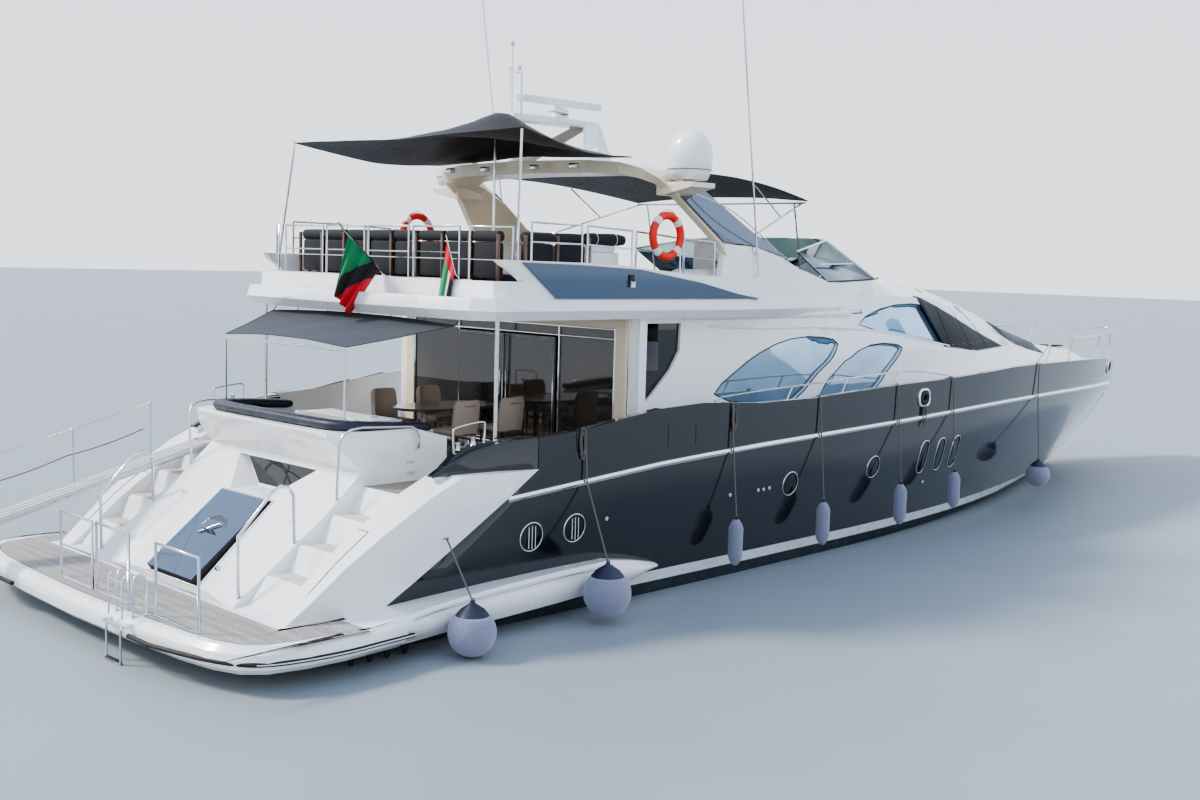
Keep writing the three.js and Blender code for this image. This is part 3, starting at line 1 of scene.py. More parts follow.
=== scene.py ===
"""Motor yacht with a flybridge: the looks of every surface, around the packed model.

Lengths are in metres. X runs to the bow, Y to port and Z up; the water is at Z = 0.
"""

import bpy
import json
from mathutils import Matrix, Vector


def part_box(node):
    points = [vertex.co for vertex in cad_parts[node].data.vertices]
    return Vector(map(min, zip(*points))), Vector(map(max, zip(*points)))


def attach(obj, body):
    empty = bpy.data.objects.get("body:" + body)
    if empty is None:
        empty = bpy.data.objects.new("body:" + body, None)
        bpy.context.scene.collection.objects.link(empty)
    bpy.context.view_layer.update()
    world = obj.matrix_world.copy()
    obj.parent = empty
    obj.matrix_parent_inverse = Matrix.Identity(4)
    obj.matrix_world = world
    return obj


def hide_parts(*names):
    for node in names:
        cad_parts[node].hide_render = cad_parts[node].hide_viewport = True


bl_info = {
    "name": "Motor yacht",
    "version": (1, 0, 0),
    "blender": (4, 5, 0),
    "location": "3D View > Sidebar > Yacht",
    "description": "Builds the finishes and the fine pieces of a motor yacht",
    "category": "Add Mesh",
}

import json
import math
import random

import bmesh
import bpy
from mathutils import Matrix, Vector
from mathutils.bvhtree import BVHTree

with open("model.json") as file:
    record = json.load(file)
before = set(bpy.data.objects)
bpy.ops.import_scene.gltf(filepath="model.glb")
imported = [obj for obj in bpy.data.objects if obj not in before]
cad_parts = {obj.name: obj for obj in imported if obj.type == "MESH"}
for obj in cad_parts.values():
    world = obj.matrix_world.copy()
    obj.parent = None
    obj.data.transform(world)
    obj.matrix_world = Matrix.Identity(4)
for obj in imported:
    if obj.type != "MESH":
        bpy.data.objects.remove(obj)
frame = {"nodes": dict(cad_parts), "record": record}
NODES = frame["nodes"]
BODY_OF = {node: body for body, nodes in frame["record"]["behaviour"]["bodies"].items() for node in nodes}
SLOT_OF = {part["node"]: part["material_slot"] for part in frame["record"]["subparts"]}
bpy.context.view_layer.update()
MAIN_BODY = "yacht"
SIDES = (("port", 1), ("starboard", -1))
AHEAD, ACROSS, UP = Vector((1, 0, 0)), Vector((0, 1, 0)), Vector((0, 0, 1))

# Levels that many pieces share

WATER_Z = 0.0
BOOT_LOW_Z = 0.19
BOOT_HIGH_Z = 0.36
SOLE_Z = 1.9
FLY_UNDER, FLY_TOP = (corner.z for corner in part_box("fly_deck"))


# Sizes and colours that a user would change


def length(label, description, default):
    """A length property with its label, its description and its default."""
    return bpy.props.FloatProperty(name=label, description=description, default=default, unit="LENGTH")


def colour(label, description, default):
    """A colour property with its label, its description and its default."""
    return bpy.props.FloatVectorProperty(
        name=label, description=description, subtype="COLOR", size=3, min=0, max=1, default=default)


class YachtSizes(bpy.types.PropertyGroup):
    """Sizes of the fine pieces"""

    plank: length("Plank width", "Width of one teak plank", 0.055)
    caulk: length("Caulk width", "Width of the dark line between planks", 0.006)
    round_edge: length("Edge radius", "Radius of the moulded edges", 0.012)
    rail_tube: length("Rail radius", "Radius of the thin stainless tubes", 0.011)
    porthole: length("Porthole radius", "Outer radius of a round porthole", 0.2)
    seam: length("Seam radius", "Radius of a sewn or moulded seam", 0.006)
    cloth_steps: bpy.props.IntProperty(
        name="Cloth steps", description="Frames that a cushion takes to swell", default=20)


class YachtColours(bpy.types.PropertyGroup):
    """Colours of the finishes"""

    topside: colour("Topsides", "Metallic paint of the hull", (0.02, 0.022, 0.026))
    slate: colour("Side panels", "Metallic paint of the flybridge panels", (0.045, 0.085, 0.15))
    gelcoat: colour("Mouldings", "White moulded parts", (0.9, 0.895, 0.885))
    # The cream stands for painted light and shade on white gelcoat: painted warm sunlight on the arch,
    # painted shade under the flybridge overhang and on the saloon bulkhead.
    cream: colour("Arch", "Cream moulded parts", (0.84, 0.72, 0.54))
    bottom: colour("Bottom", "Paint below the boot stripe", (0.012, 0.02, 0.032))
    teak: colour("Teak", "Weathered teak planks", (0.36, 0.29, 0.225))
    glass: colour("Side glass", "Mirror tint of the side windows", (0.3, 0.47, 0.64))
    canvas: colour("Flybridge awnings", "Dark awning cloth", (0.012, 0.012, 0.015))
    awning: colour("Cockpit awning", "Blue grey awning cloth", (0.03, 0.036, 0.048))
    navy: colour("Cushions", "Sofa cushions of the cockpit", (0.012, 0.017, 0.034))
    taupe: colour("Chairs", "Chair cloth", (0.42, 0.34, 0.28))
    walnut: colour("Wood", "Chair legs and inner panels", (0.085, 0.036, 0.018))
    buoy: colour("Lifebuoys", "Orange red plastic", (0.8, 0.03, 0.012))
    fender: colour("Fender covers", "Knitted cover of a fender", (0.27, 0.28, 0.42))


def sizes():
    """The user's sizes."""
    return bpy.context.scene.yacht_sizes


# Finishes


def add_node(tree, kind, settings=None, **inputs):
    """A node whose inputs, by name or by number after a line, are values or other nodes' sockets."""
    node = tree.nodes.new(kind)
    for key, value in (settings or {}).items():
        setattr(node, key, value)
    for key, value in inputs.items():
        socket = node.inputs[int(key[1:]) if key[1:].isdigit() else key.replace("_", " ")]
        if isinstance(value, bpy.types.NodeSocket):
            tree.links.new(value, socket)
        else:
            socket.default_value = value
    return node


def shade(base, factor):
    """The colour made lighter or darker."""
    return tuple(min(1.0, c * factor) for c in base)


class Finish:
    """A procedural material: one shader, with nodes for its colour, roughness and bump."""

    def __init__(self, name, base, roughness, **fixed):
        self.base = tuple(base)
        self.material = bpy.data.materials.new(name)
        self.material.use_nodes = True
        self.material.diffuse_color = (*self.base, 1)
        self.tree = self.material.node_tree
        self.shader = self.tree.nodes["Principled BSDF"]
        for socket, value in {"Base_Color": (*self.base, 1), "Roughness": roughness, **fixed}.items():
            self.shader.inputs[socket.replace("_", " ")].default_value = value
        given = self.node("TexCoord").outputs
        self.coordinates, self.uv = given["Object"], given["UV"]
        self.height = None

    def node(self, kind, settings=None, **inputs):
        return add_node(self.tree, "ShaderNode" + kind, settings, **inputs)

    def place(self, scale=(1, 1, 1)):
        """Object coordinates, scaled."""
        return self.node("Mapping", Vector=self.coordinates, Scale=scale).outputs["Vector"]

    def noise(self, scale, detail=3.0, stretch=(1, 1, 1), distortion=0.0):
        """Cloudy variation from 0 to 1."""
        return self.node("TexNoise", Vector=self.place(stretch), Scale=scale, Detail=detail,
                         Distortion=distortion).outputs["Fac"]

    def cells(self, scale, stretch=(1, 1, 1)):
        """Distance from the middle of the nearest of many small cells."""
        return self.node("TexVoronoi", Vector=self.place(stretch), Scale=scale).outputs["Distance"]

    def axis(self, letter, source=None):
        """One coordinate of the object, in metres."""
        return self.node("SeparateXYZ", Vector=source or self.coordinates).outputs[letter]

    def maths(self, operation, first, second=0.0):
        """One sum."""
        return self.node("Math", {"operation": operation}, _0=first, _1=second).outputs[0]

    def band(self, fac, low, high, start=0.0, end=1.0):
        """Maps fac from low..high to start..end, held at the ends."""
        return self.node("MapRange", Value=fac, From_Min=low, From_Max=high, To_Min=start,
                         To_Max=end).outputs["Result"]

    def patches(self, scale, detail, low, high, start=0.0, end=1.0):
        """Cloudy variation, mapped from low..high to start..end."""
        return self.band(self.noise(scale, detail), low, high, start, end)

    def mix(self, fac, *ends):
        """A colour between two; each is a colour or a socket."""
        first, second = (end if isinstance(end, bpy.types.NodeSocket) else (*end[:3], 1) for end in ends)
        return self.node("Mix", {"data_type": "RGBA"}, Factor=fac, _6=first, _7=second).outputs[2]

    def tone(self, fac, low, high):
        """The base colour, made lighter or darker between two factors."""
        return self.mix(fac, shade(self.base, low), shade(self.base, high))

    def colour(self, socket):
        self.tree.links.new(socket, self.shader.inputs["Base Color"])

    def roughness(self, socket):
        self.tree.links.new(socket, self.shader.inputs["Roughness"])

    def bump(self, height, strength, distance):
        """Adds a height field; later ones lie on the earlier ones."""
        node = self.node("Bump", Height=height, Strength=strength, Distance=distance)
        if self.height:
            self.tree.links.new(self.height, node.inputs["Normal"])
        self.height = node.outputs["Normal"]
        self.tree.links.new(self.height, self.shader.inputs["Normal"])


def metallic_paint(name, base, metal=0.55):
    """Gloss paint with metal flakes under a clear coat."""
    paint = Finish(name, base, 0.32, Metallic=metal, Coat_Weight=1.0, Coat_Roughness=0.04)
    flakes = paint.maths("MULTIPLY", paint.patches(2600, 1, 0.35, 0.7), 0.12)
    paint.colour(paint.mix(flakes, paint.tone(paint.noise(0.6, 4), 0.93, 1.08), shade(base, 2.2)))
    paint.roughness(paint.patches(1.4, 4, 0.35, 0.75, 0.14, 0.24))
    return paint


def moulded_gelcoat(name, base, gloss=0.2):
    """White or cream moulding: faint clouds, water stains that run down, a soft orange peel."""
    coat = Finish(name, base, gloss, Coat_Weight=0.5, Coat_Roughness=0.08)
    stains = coat.band(coat.noise(2.2, 6, (1.5, 1.5, 0.5)), 0.55, 0.85)
    grime = tuple(c * t for c, t in zip(base, (0.86, 0.84, 0.79)))
    coat.colour(coat.mix(coat.maths("MULTIPLY", stains, 0.25), coat.tone(coat.noise(0.9, 4), 0.965, 1.03),
                         grime))
    coat.roughness(coat.patches(5, 4, 0.3, 0.75, gloss * 0.8, gloss * 1.6))
    coat.bump(coat.noise(160, 2), 0.05, 0.0012)
    return coat


def bottom_paint(name, base):
    """Matt antifouling with growth near the water."""
    paint = Finish(name, base, 0.7)
    paint.colour(paint.mix(paint.patches(6, 6, 0.45, 0.7), base, (0.03, 0.045, 0.04)))
    paint.bump(paint.noise(45, 5), 0.35, 0.006)
    return paint


def teak_deck(name, base, across):
    """Weathered planks with dark caulk, each plank with its own tone and grain."""
    wood = Finish(name, base, 0.62)
    side = wood.maths("DIVIDE", wood.axis(across), sizes().plank)
    grain = wood.noise(2.2, 6.0, {"X": (26, 3, 26), "Y": (3, 26, 26)}[across], 0.6)
    number = wood.maths("FLOOR", side)
    plank = wood.tone(wood.node("TexWhiteNoise", {"noise_dimensions": "1D"}, W=number).outputs["Value"], 0.8,
                      1.2)
    grained = wood.mix(wood.band(grain, 0.35, 0.7, 0, 0.55), plank, shade(base, 0.6))
    greyed = wood.mix(wood.patches(1.3, 5, 0.4, 0.75, 0, 0.45), grained, (0.36, 0.34, 0.31))
    edge = wood.maths("ABSOLUTE", wood.maths("SUBTRACT", wood.maths("FRACT", side), 0.5))
    joint = wood.maths("GREATER_THAN", edge, 0.5 - sizes().caulk / sizes().plank / 2)
    wood.colour(wood.mix(joint, greyed, (0.012, 0.012, 0.012)))
    wood.roughness(wood.band(grain, 0.3, 0.7, 0.5, 0.75))
    wood.bump(joint, 0.4, -0.002)
    wood.bump(grain, 0.12, 0.0015)
    return wood


def non_skid(name, base):
    """Deck paint with a fine raised grain."""
    deck = Finish(name, base, 0.55)
    deck.colour(deck.tone(deck.noise(1.5, 5), 0.9, 1.05))
    deck.bump(deck.cells(180.0), 0.5, 0.0015)
    return deck


def polished_metal(name, base, rough=0.12, brushed=0.0):
    """Stainless steel, chrome or aluminium, with wiping marks and salt spots."""
    metal = Finish(name, base, rough, Metallic=1.0)
    spots = metal.maths("MULTIPLY", metal.patches(22, 6, 0.55, 0.72), 0.35)
    metal.colour(metal.mix(spots, base, shade(base, 0.68)))
    metal.roughness(metal.patches(9, 5, 0.3, 0.7, rough * 0.7, rough * 1.9))
    if brushed:
        metal.bump(metal.noise(60, 3, (0.4, 14, 14)), brushed, 0.0006)
    return metal


def mirror_glass(name, low, high, low_z, high_z):
    """Tinted glass that mirrors a pale sky, with a painted sky reflection: lighter towards its top, deeper in
    tone towards its foot, and uneven.
    """
    glass = Finish(name, low, 0.04, Metallic=0.8, Coat_Weight=1.0, Coat_Roughness=0.01, IOR=1.5)
    # Painted reflection of the sky: the colour runs from low at low_z to high at high_z, made uneven by
    # noise.
    rise = glass.band(glass.axis("Z"), low_z, high_z)
    cloud = glass.band(glass.noise(0.7, 4, (1, 1, 2)), 0.35, 0.7, -0.2, 0.2)
    glass.colour(glass.mix(glass.maths("ADD", rise, cloud), low, high))
    glass.bump(glass.noise(1.5, 1), 0.03, 0.004)
    return glass


def clear_glass(name, tint, through=0.85):
    """Glass that is seen through, with a faint smear."""
    glass = Finish(name, tint, 0.03, Transmission_Weight=through, IOR=1.45, Coat_Weight=0.6)
    glass.roughness(glass.patches(3, 4, 0.4, 0.8, 0.02, 0.07))
    glass.colour(glass.tone(glass.noise(0.8, 2), 0.9, 1.0))
    return glass


def woven_cloth(name, base, pitch=0.0022, strength=0.5, fade=0.2):
    """Outdoor cloth: crossed threads along the UV map in metres, a faded upper side and soft creases."""
    cloth = Finish(name, base, 0.86, Sheen_Weight=0.1, Sheen_Roughness=0.5)
    warp, weft = (cloth.maths("SINE", cloth.maths("MULTIPLY", cloth.axis(letter, cloth.uv), math.tau / pitch))
                  for letter in "XY")
    weave = cloth.band(cloth.maths("MULTIPLY", warp, weft), -1, 1)
    dusty = cloth.patches(1.6, 6, 0.38, 0.75, 0, fade)
    cloth.colour(cloth.mix(dusty, cloth.tone(weave, 0.8, 1.18), tuple(c * 1.4 + 0.012 for c in base)))
    cloth.bump(weave, strength, 0.0006)
    cloth.bump(cloth.noise(5, 3), 0.12, 0.006)
    return cloth


def grained_vinyl(name, base, rough=0.5):
    """Marine vinyl or leather: a pebbled grain, and a slight shine on the wear."""
    skin = Finish(name, base, rough, Coat_Weight=0.1, Coat_Roughness=0.3)
    wear = skin.patches(3.5, 5, 0.4, 0.72)
    skin.colour(skin.mix(wear, shade(base, 0.85), tuple(c * 1.3 + 0.008 for c in base)))
    skin.roughness(skin.band(wear, 0, 1, rough * 1.1, rough * 0.75))
    skin.bump(skin.cells(420.0), 0.3, 0.0008)
    skin.bump(skin.noise(12, 3), 0.15, 0.003)
    return skin


def moulded_plastic(name, base, rough=0.45):
    """Plastic or rubber with a fine grain and scuffs."""
    plastic = Finish(name, base, rough)
    scuffs = plastic.patches(14, 6, 0.55, 0.75)
    plastic.colour(plastic.mix(plastic.maths("MULTIPLY", scuffs, 0.4), base,
                               tuple(c * 1.25 + 0.02 for c in base)))
    plastic.roughness(plastic.band(scuffs, 0, 1, rough, min(1, rough * 1.5)))
    plastic.bump(plastic.noise(300, 2), 0.15, 0.0006)
    return plastic


def polished_wood(name, base):
    """Varnished wood with a long grain."""
    wood = Finish(name, base, 0.28, Coat_Weight=0.7, Coat_Roughness=0.08)
    grain = wood.noise(4.0, 7.0, (9, 9, 1.2), 1.2)
    wood.colour(wood.tone(wood.band(grain, 0.35, 0.68), 0.6, 1.7))
    wood.bump(grain, 0.06, 0.001)
    return wood


def knitted_cover(name, base):
    """Thick knitted cover of a fender, with harbour dirt and painted shade in the gaps between its loops."""
    knit = Finish(name, base, 0.95, Sheen_Weight=0.5, Sheen_Roughness=0.6)
    loops = knit.cells(120.0, (1, 1, 0.7))
    # Painted shade: the loops are lighter at their middles and darker in the gaps between them.
    tone = knit.tone(knit.band(loops, 0, 0.8), 1.25, 0.6)
    knit.colour(knit.mix(knit.patches(7, 6, 0.42, 0.7, 0, 0.55), tone, (0.2, 0.2, 0.22)))
    knit.bump(loops, 0.8, -0.004)
    return knit


def laid_rope(name, base, pitch=0.02):
    """Three-strand rope: its twist runs along the UV map, with painted shade in the grooves between strands.
    """
    rope = Finish(name, base, 0.85)
    along = rope.maths("MULTIPLY", rope.axis("Y", rope.uv), math.tau / pitch)
    around = rope.maths("MULTIPLY", rope.axis("X", rope.uv), math.tau)
    strand = rope.band(rope.maths("SINE", rope.maths("ADD", along, around)), -1, 1)
    # Painted shade: darker in the grooves between strands, lighter on their crowns.
    rope.colour(rope.tone(strand, 0.55, 1.2))
    rope.bump(strand, 0.6, 0.003)
    return rope


def frosted_lens(name, base):
    """A lamp's lens: frosted and pale, with no light of its own."""
    lens = Finish(name, base, 0.25, Transmission_Weight=0.2, Coat_Weight=0.8)
    lens.bump(lens.noise(90, 1), 0.2, 0.001)
    lens.colour(lens.tone(lens.noise(12, 3), 0.9, 1.0))
    return lens


MATERIALS = {}


def make_finishes():
    """Every material of the yacht, under the names that the pieces ask for."""
    tint = bpy.context.scene.yacht_colours
    for key, kind, name, base, *rest in (
            ("topside", metallic_paint, "topside_paint", tint.topside),
            ("slate", metallic_paint, "slate_paint", tint.slate, 0.5),
            ("gelcoat", moulded_gelcoat, "white_gelcoat", tint.gelcoat),
            # Cream gelcoat: painted warm light and shade on white mouldings.
            ("cream", moulded_gelcoat, "cream_gelcoat", tint.cream, 0.3),
            ("boot", moulded_gelcoat, "boot_stripe", (0.72, 0.75, 0.78), 0.25),
            ("bottom", bottom_paint, "bottom_paint", tint.bottom),
            ("teak", teak_deck, "teak_deck", tint.teak, "Y"),
            ("tread", teak_deck, "tread_teak", (0.42, 0.38, 0.35), "X"),
            ("nonskid", non_skid, "deck_paint", (0.6, 0.57, 0.52)),
            ("chrome", polished_metal, "bright_chrome", (0.83, 0.84, 0.86), 0.07),
            ("steel", polished_metal, "polished_stainless", (0.7, 0.71, 0.73), 0.15),
            ("aluminium", polished_metal, "brushed_aluminium", (0.6, 0.61, 0.63), 0.3, 0.3),
            ("bronze", polished_metal, "sea_bronze", (0.42, 0.28, 0.12), 0.35, 0.2),
            # Each glass runs from its foot tone to its top tone between two heights: painted sky reflection.
            ("tint", mirror_glass, "mirror_side_glass", shade(tint.glass, 0.55), shade(tint.glass, 1.35), 2.7,
             3.9),
            ("darkglass", clear_glass, "smoked_glass", (0.12, 0.1, 0.085), 0.6),
            ("screen", clear_glass, "windscreen_glass", (0.45, 0.6, 0.56), 0.8),
            ("blackglass", mirror_glass, "black_glass", (0.006, 0.007, 0.009), (0.02, 0.022, 0.026), 0, 6),
            ("cover", woven_cloth, "mesh_cover", (0.03, 0.032, 0.036), 0.005, 0.7, 0.25),
            ("canvas", woven_cloth, "dark_awning_cloth", tint.canvas),
            ("awning", woven_cloth, "blue_awning_cloth", tint.awning),
            ("navy", grained_vinyl, "navy_cushion", tint.navy),
            ("taupe", woven_cloth, "chair_cloth", tint.taupe, 0.003, 0.6, 0.15),
            ("walnut", polished_wood, "dark_walnut", tint.walnut),
            ("rattan", moulded_plastic, "dark_resin", (0.018, 0.014, 0.012), 0.55),
            ("buoy", moulded_plastic, "orange_plastic", tint.buoy, 0.5),
            ("band", moulded_plastic, "pale_band", (0.75, 0.76, 0.74), 0.35),
            ("rubber", moulded_plastic, "black_rubber", (0.012, 0.012, 0.013), 0.6),
            ("fender", knitted_cover, "fender_cover", tint.fender),
            ("fendercone", grained_vinyl, "fender_cone", (0.018, 0.022, 0.05), 0.55),
            ("rope", laid_rope, "dark_line", (0.19, 0.17, 0.15)),
            ("flag", woven_cloth, "green_bunting", (0.02, 0.22, 0.08)),
            ("flagred", woven_cloth, "red_bunting", (0.62, 0.02, 0.03)),
            ("flagblack", woven_cloth, "black_bunting", (0.012, 0.012, 0.012)),
            ("flagwhite", woven_cloth, "white_bunting", (0.75, 0.75, 0.73)),
            ("lens", frosted_lens, "lamp_lens", (0.85, 0.85, 0.82)),
            ("interior", moulded_plastic, "lining", (0.5, 0.42, 0.33), 0.6)):
        MATERIALS[key] = kind(name, base, *rest).material


# Node trees for what follows a path and for what repeats

TREES = {}


def start_tree(name, *sockets):
    """A tree with a geometry input, inputs of (name, kind) and a geometry output."""
    tree = TREES[name] = bpy.data.node_groups.new(name, "GeometryNodeTree")
    for label, kind in (("Geometry", "Geometry"), *sockets):
        tree.interface.new_socket(label, in_out="INPUT", socket_type="NodeSocket" + kind)
    tree.interface.new_socket("Geometry", in_out="OUTPUT", socket_type="NodeSocketGeometry")
    return tree, tree.nodes.new("NodeGroupInput").outputs


def end_tree(tree, geometry, material):
    """Ends a tree with plain faces that carry the material."""
    plain = add_node(tree, "GeometryNodeRealizeInstances", Geometry=geometry)
    painted = add_node(tree, "GeometryNodeSetMaterial", Geometry=plain.outputs["Geometry"], Material=material)
    add_node(tree, "NodeGroupOutput", Geometry=painted.outputs["Geometry"])


def make_sweep_tree():
    """A round section swept along edges, with its UV map in metres along the path."""
    tree, given = start_tree("sweep", ("Radius", "Float"), ("Sides", "Int"), ("Material", "Material"))
    curve = add_node(tree, "GeometryNodeMeshToCurve", Mesh=given["Geometry"])
    circle = add_node(tree, "GeometryNodeCurvePrimitiveCircle", Resolution=given["Sides"],
                      Radius=given["Radius"])
    parameter = tree.nodes.new("GeometryNodeSplineParameter").outputs
    captured = []
    for source, measure in ((curve, "Length"), (circle, "Factor")):
        node = tree.nodes.new("GeometryNodeCaptureAttribute")
        node.capture_items.new("FLOAT", "Value")
        tree.links.new(source.outputs["Curve"], node.inputs["Geometry"])
        tree.links.new(parameter[measure], node.inputs["Value"])
        captured.append(node.outputs)
    along, around = captured
    mesh = add_node(tree, "GeometryNodeCurveToMesh", Curve=along["Geometry"],
                    Profile_Curve=around["Geometry"],
                    Fill_Caps=True)
    pair = add_node(tree, "ShaderNodeCombineXYZ", X=around["Value"], Y=along["Value"])
    store = add_node(tree, "GeometryNodeStoreNamedAttribute", {"data_type": "FLOAT2", "domain": "CORNER"},
                     Geometry=mesh.outputs["Mesh"], Name="UVMap", Value=pair.outputs["Vector"])
    end_tree(tree, store.outputs["Geometry"], given["Material"])


def make_repeat_tree():
    """One piece at every point, turned by the point's own angles."""
    tree, given = start_tree("repeat", ("Piece", "Object"), ("Material", "Material"))
    info = add_node(tree, "GeometryNodeObjectInfo", Object=given["Piece"])
    turn = add_node(tree, "GeometryNodeInputNamedAttribute", {"data_type": "FLOAT_VECTOR"}, Name="turn")
    angles = add_node(tree, "FunctionNodeEulerToRotation", Euler=turn.outputs["Attribute"])
    place = add_node(tree, "GeometryNodeInstanceOnPoints", Points=given["Geometry"],
                     Instance=info.outputs["Geometry"], Rotation=angles.outputs["Rotation"])
    end_tree(tree, place.outputs["Instances"], given["Material"])


# Shapes


def turned(degrees, axis):
    """A rotation about one axis."""
    return Matrix.Rotation(math.radians(degrees), 3, axis)


def placed(centre, turn):
    """A rotation, or none, moved to a centre."""
    return Matrix.Translation(Vector(centre)) @ (turn.to_4x4() if turn else Matrix())


def mesh_of(name, bm):
    """The plain mesh of what was built, which is then freed."""
    mesh = bpy.data.meshes.new(name)
    bm.to_mesh(mesh)
    bm.free()
    return mesh


def soften(mesh, angle=None):
    """Smooth faces, with sharp edges above an angle in degrees where one is given."""
    mesh.shade_smooth()
    if angle is not None:
        mesh.set_sharp_from_angle(angle=math.radians(angle))


def new_object(name, mesh, finishes=(), smooth=None):
    """A mesh object in the scene, with its finishes."""
    obj = bpy.data.objects.new(name, mesh)
    bpy.context.scene.collection.objects.link(obj)
    for finish in finishes:
        mesh.materials.append(MATERIALS[finish])
    if smooth is not None:
        soften(mesh, smooth)
    return obj


def settle(obj, slot, body=MAIN_BODY):
    """The piece rides on its body; its slot is not used."""
    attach(obj, body)
    return obj


def bake_modifiers(obj):
    """Turns what the modifiers make into the object's own plain mesh."""
    bpy.context.view_layer.update()
    made = bpy.data.meshes.new_from_object(obj.evaluated_get(bpy.context.evaluated_depsgraph_get()))
    obj.modifiers.clear()
    old, name = obj.data, obj.data.name
    obj.data = made
    bpy.data.meshes.remove(old)
    made.name = name


def grow(obj, tree, **values):
    """Runs a tree on the object with its inputs set, and keeps the plain mesh."""
    modifier = obj.modifiers.new(tree, "NODES")
    modifier.node_group = TREES[tree]
    for item in TREES[tree].interface.items_tree:
        if item.in_out == "INPUT" and item.name in values:
            modifier[item.identifier] = values[item.name]
    bake_modifiers(obj)


class Shape:
    """A mesh in the making; each form is added to what is there."""

    def __init__(self):
        self.bm = bmesh.new()

    def block(self, low, high, radius=0.0, turn=None):
        """A box between two corners, with round edges, turned about its own middle."""
        low, high = Vector(low), Vector(high)
        verts = bmesh.ops.create_cube(self.bm, size=1)["verts"]
        for vert in verts:
            vert.co = Vector(a * b for a, b in zip(vert.co, high - low))
        if radius:
            edges = list({edge for vert in verts for edge in vert.link_edges})
            made = bmesh.ops.bevel(self.bm, geom=edges, offset=radius, segments=3, affect="EDGES",
                                   profile=0.5)
            verts = list({vert for face in made["faces"] for vert in face.verts} | {v for v in verts
                                                                                    if v.is_valid})
        bmesh.ops.transform(self.bm, matrix=placed((low + high) / 2, turn), verts=verts)
        return self

    def around(self, place, low, high, radius, turn=None):
        """A box between two offsets from a place."""
        return self.block(Vector(place) + Vector(low), Vector(place) + Vector(high), radius, turn)

    def pair(self, low, high, radius):
        """A box to port and its mirror image to starboard."""
        return self.block(low, high, radius).block((low[0], -high[1], low[2]), (high[0], -low[1], high[2]),
                                                   radius)

    def lathe(self, profile, centre, steps=32, turn=None):
        """A turned form from (radius, height) points; it closes on its axis."""
        matrix = placed(centre, turn)
        rings = []
        for radius, height in profile:
            angles = [math.tau * i / steps for i in range(steps if radius > 1e-6 else 1)]
            rings.append([self.bm.verts.new(matrix @ Vector((radius * math.cos(angle),
                                                             radius * math.sin(angle), height)))
                          for angle in angles])
        for low, high in zip(rings, rings[1:]):
            for i in range(steps):
                j = (i + 1) % steps
                corners = [low[0]] if len(low) == 1 else [low[i], low[j]]
                corners += [high[0]] if len(high) == 1 else [high[j], high[i]]
                if len(corners) > 2:
                    self.bm.faces.new(corners)
        for ring in (rings[0][::-1], rings[-1]):
            if len(ring) > 1:
                self.bm.faces.new(ring)
        return self

    def skin(self, rings):
        """A closed surface through rings of equal length."""
        rows = [[self.bm.verts.new(point) for point in ring] for ring in rings]
        for low, high in zip(rows, rows[1:]):
            for i in range(len(low)):
                j = (i + 1) % len(low)
                self.bm.faces.new((low[i], low[j], high[j], high[i]))
        self.bm.faces.new(rows[0][::-1])
        self.bm.faces.new(rows[-1])
        bmesh.ops.recalc_face_normals(self.bm, faces=self.bm.faces)
        return self

    def piece(self, name, finish, slot=None, body=MAIN_BODY, smooth=30):
        """The finished piece, on its body; its slot is not used."""
        return settle(new_object(name, mesh_of(name, self.bm), [finish], smooth), slot or finish, body)

    def repeat(self, name, places, finish, slot=None, body=MAIN_BODY, smooth=40):
        """The finished piece: the form at each (point, angles)."""
        self.bm.normal_update()
        one = new_object(name + "_one", mesh_of(name + "_one", self.bm))
        mesh = bpy.data.meshes.new(name)
        mesh.from_pydata([tuple(point) for point, _ in places], [], [])
        turn = mesh.attributes.new("turn", "FLOAT_VECTOR", "POINT")
        for i, (_, angles) in enumerate(places):
            turn.data[i].vector = angles
        obj = new_object(name, mesh)
        grow(obj, "repeat", Piece=one, Material=MATERIALS[finish])
        bpy.data.objects.remove(one)
        soften(obj.data, smooth)
        return settle(obj, slot or finish, body)


def tube(name, verts, edges, radius, finish, slot, body=MAIN_BODY, sides=8, smooth=60):
    """A round section along edges."""
    mesh = bpy.data.meshes.new(name)
    mesh.from_pydata(verts, edges, [])
    obj = new_object(name, mesh)
    grow(obj, "sweep", Radius=radius, Sides=sides, Material=MATERIALS[finish])
    soften(obj.data, smooth)
    return settle(obj, slot or finish, body)


def swept(name, lines, radius, finish, slot=None, body=MAIN_BODY, sides=8, closed=False):
    """Round bars, ropes or seams along lines of points."""
    verts, edges = [], []
    for line in lines:
        first = len(verts)
        verts += [tuple(point) for point in line]
        edges += [(i, i + 1) for i in range(first, len(verts) - 1)]
        if closed:
            edges.append((len(verts) - 1, first))
    return tube(name, verts, edges, radius, finish, slot, body, sides)


def welded_copy(node):
    """A copy of a CAD node's faces with shared corners."""
    bm = bmesh.new()
    bm.from_mesh(NODES[node].data)
    bmesh.ops.remove_doubles(bm, verts=bm.verts, dist=0.0001)
    return bm


def apply_rules(bm, rules, first):
    """Numbers the faces by (finish, test of a face and its normal); the last that holds wins."""
    for face in bm.faces:
        for index, (_, holds) in enumerate(rules, first):
            if holds(face.calc_center_median(), face.normal):
                face.material_index = index
    return [finish for finish, _ in rules]


def stand_in(node, bm, finishes, smooth, bevel=0.0):
    """The piece that stands for a node, with its edges rounded by the bevel."""
    name = node + "_dressed"
    obj = new_object(name, mesh_of(name, bm), finishes, smooth)
    if bevel:
        rounding = obj.modifiers.new("soft_edges", "BEVEL")
        rounding.width, rounding.segments, rounding.harden_normals = bevel, 2, True
        rounding.limit_method, rounding.angle_limit = "ANGLE", math.radians(smooth)
        bake_modifiers(obj)
    settle(obj, SLOT_OF[node], BODY_OF[node])
    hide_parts(node)
    return obj


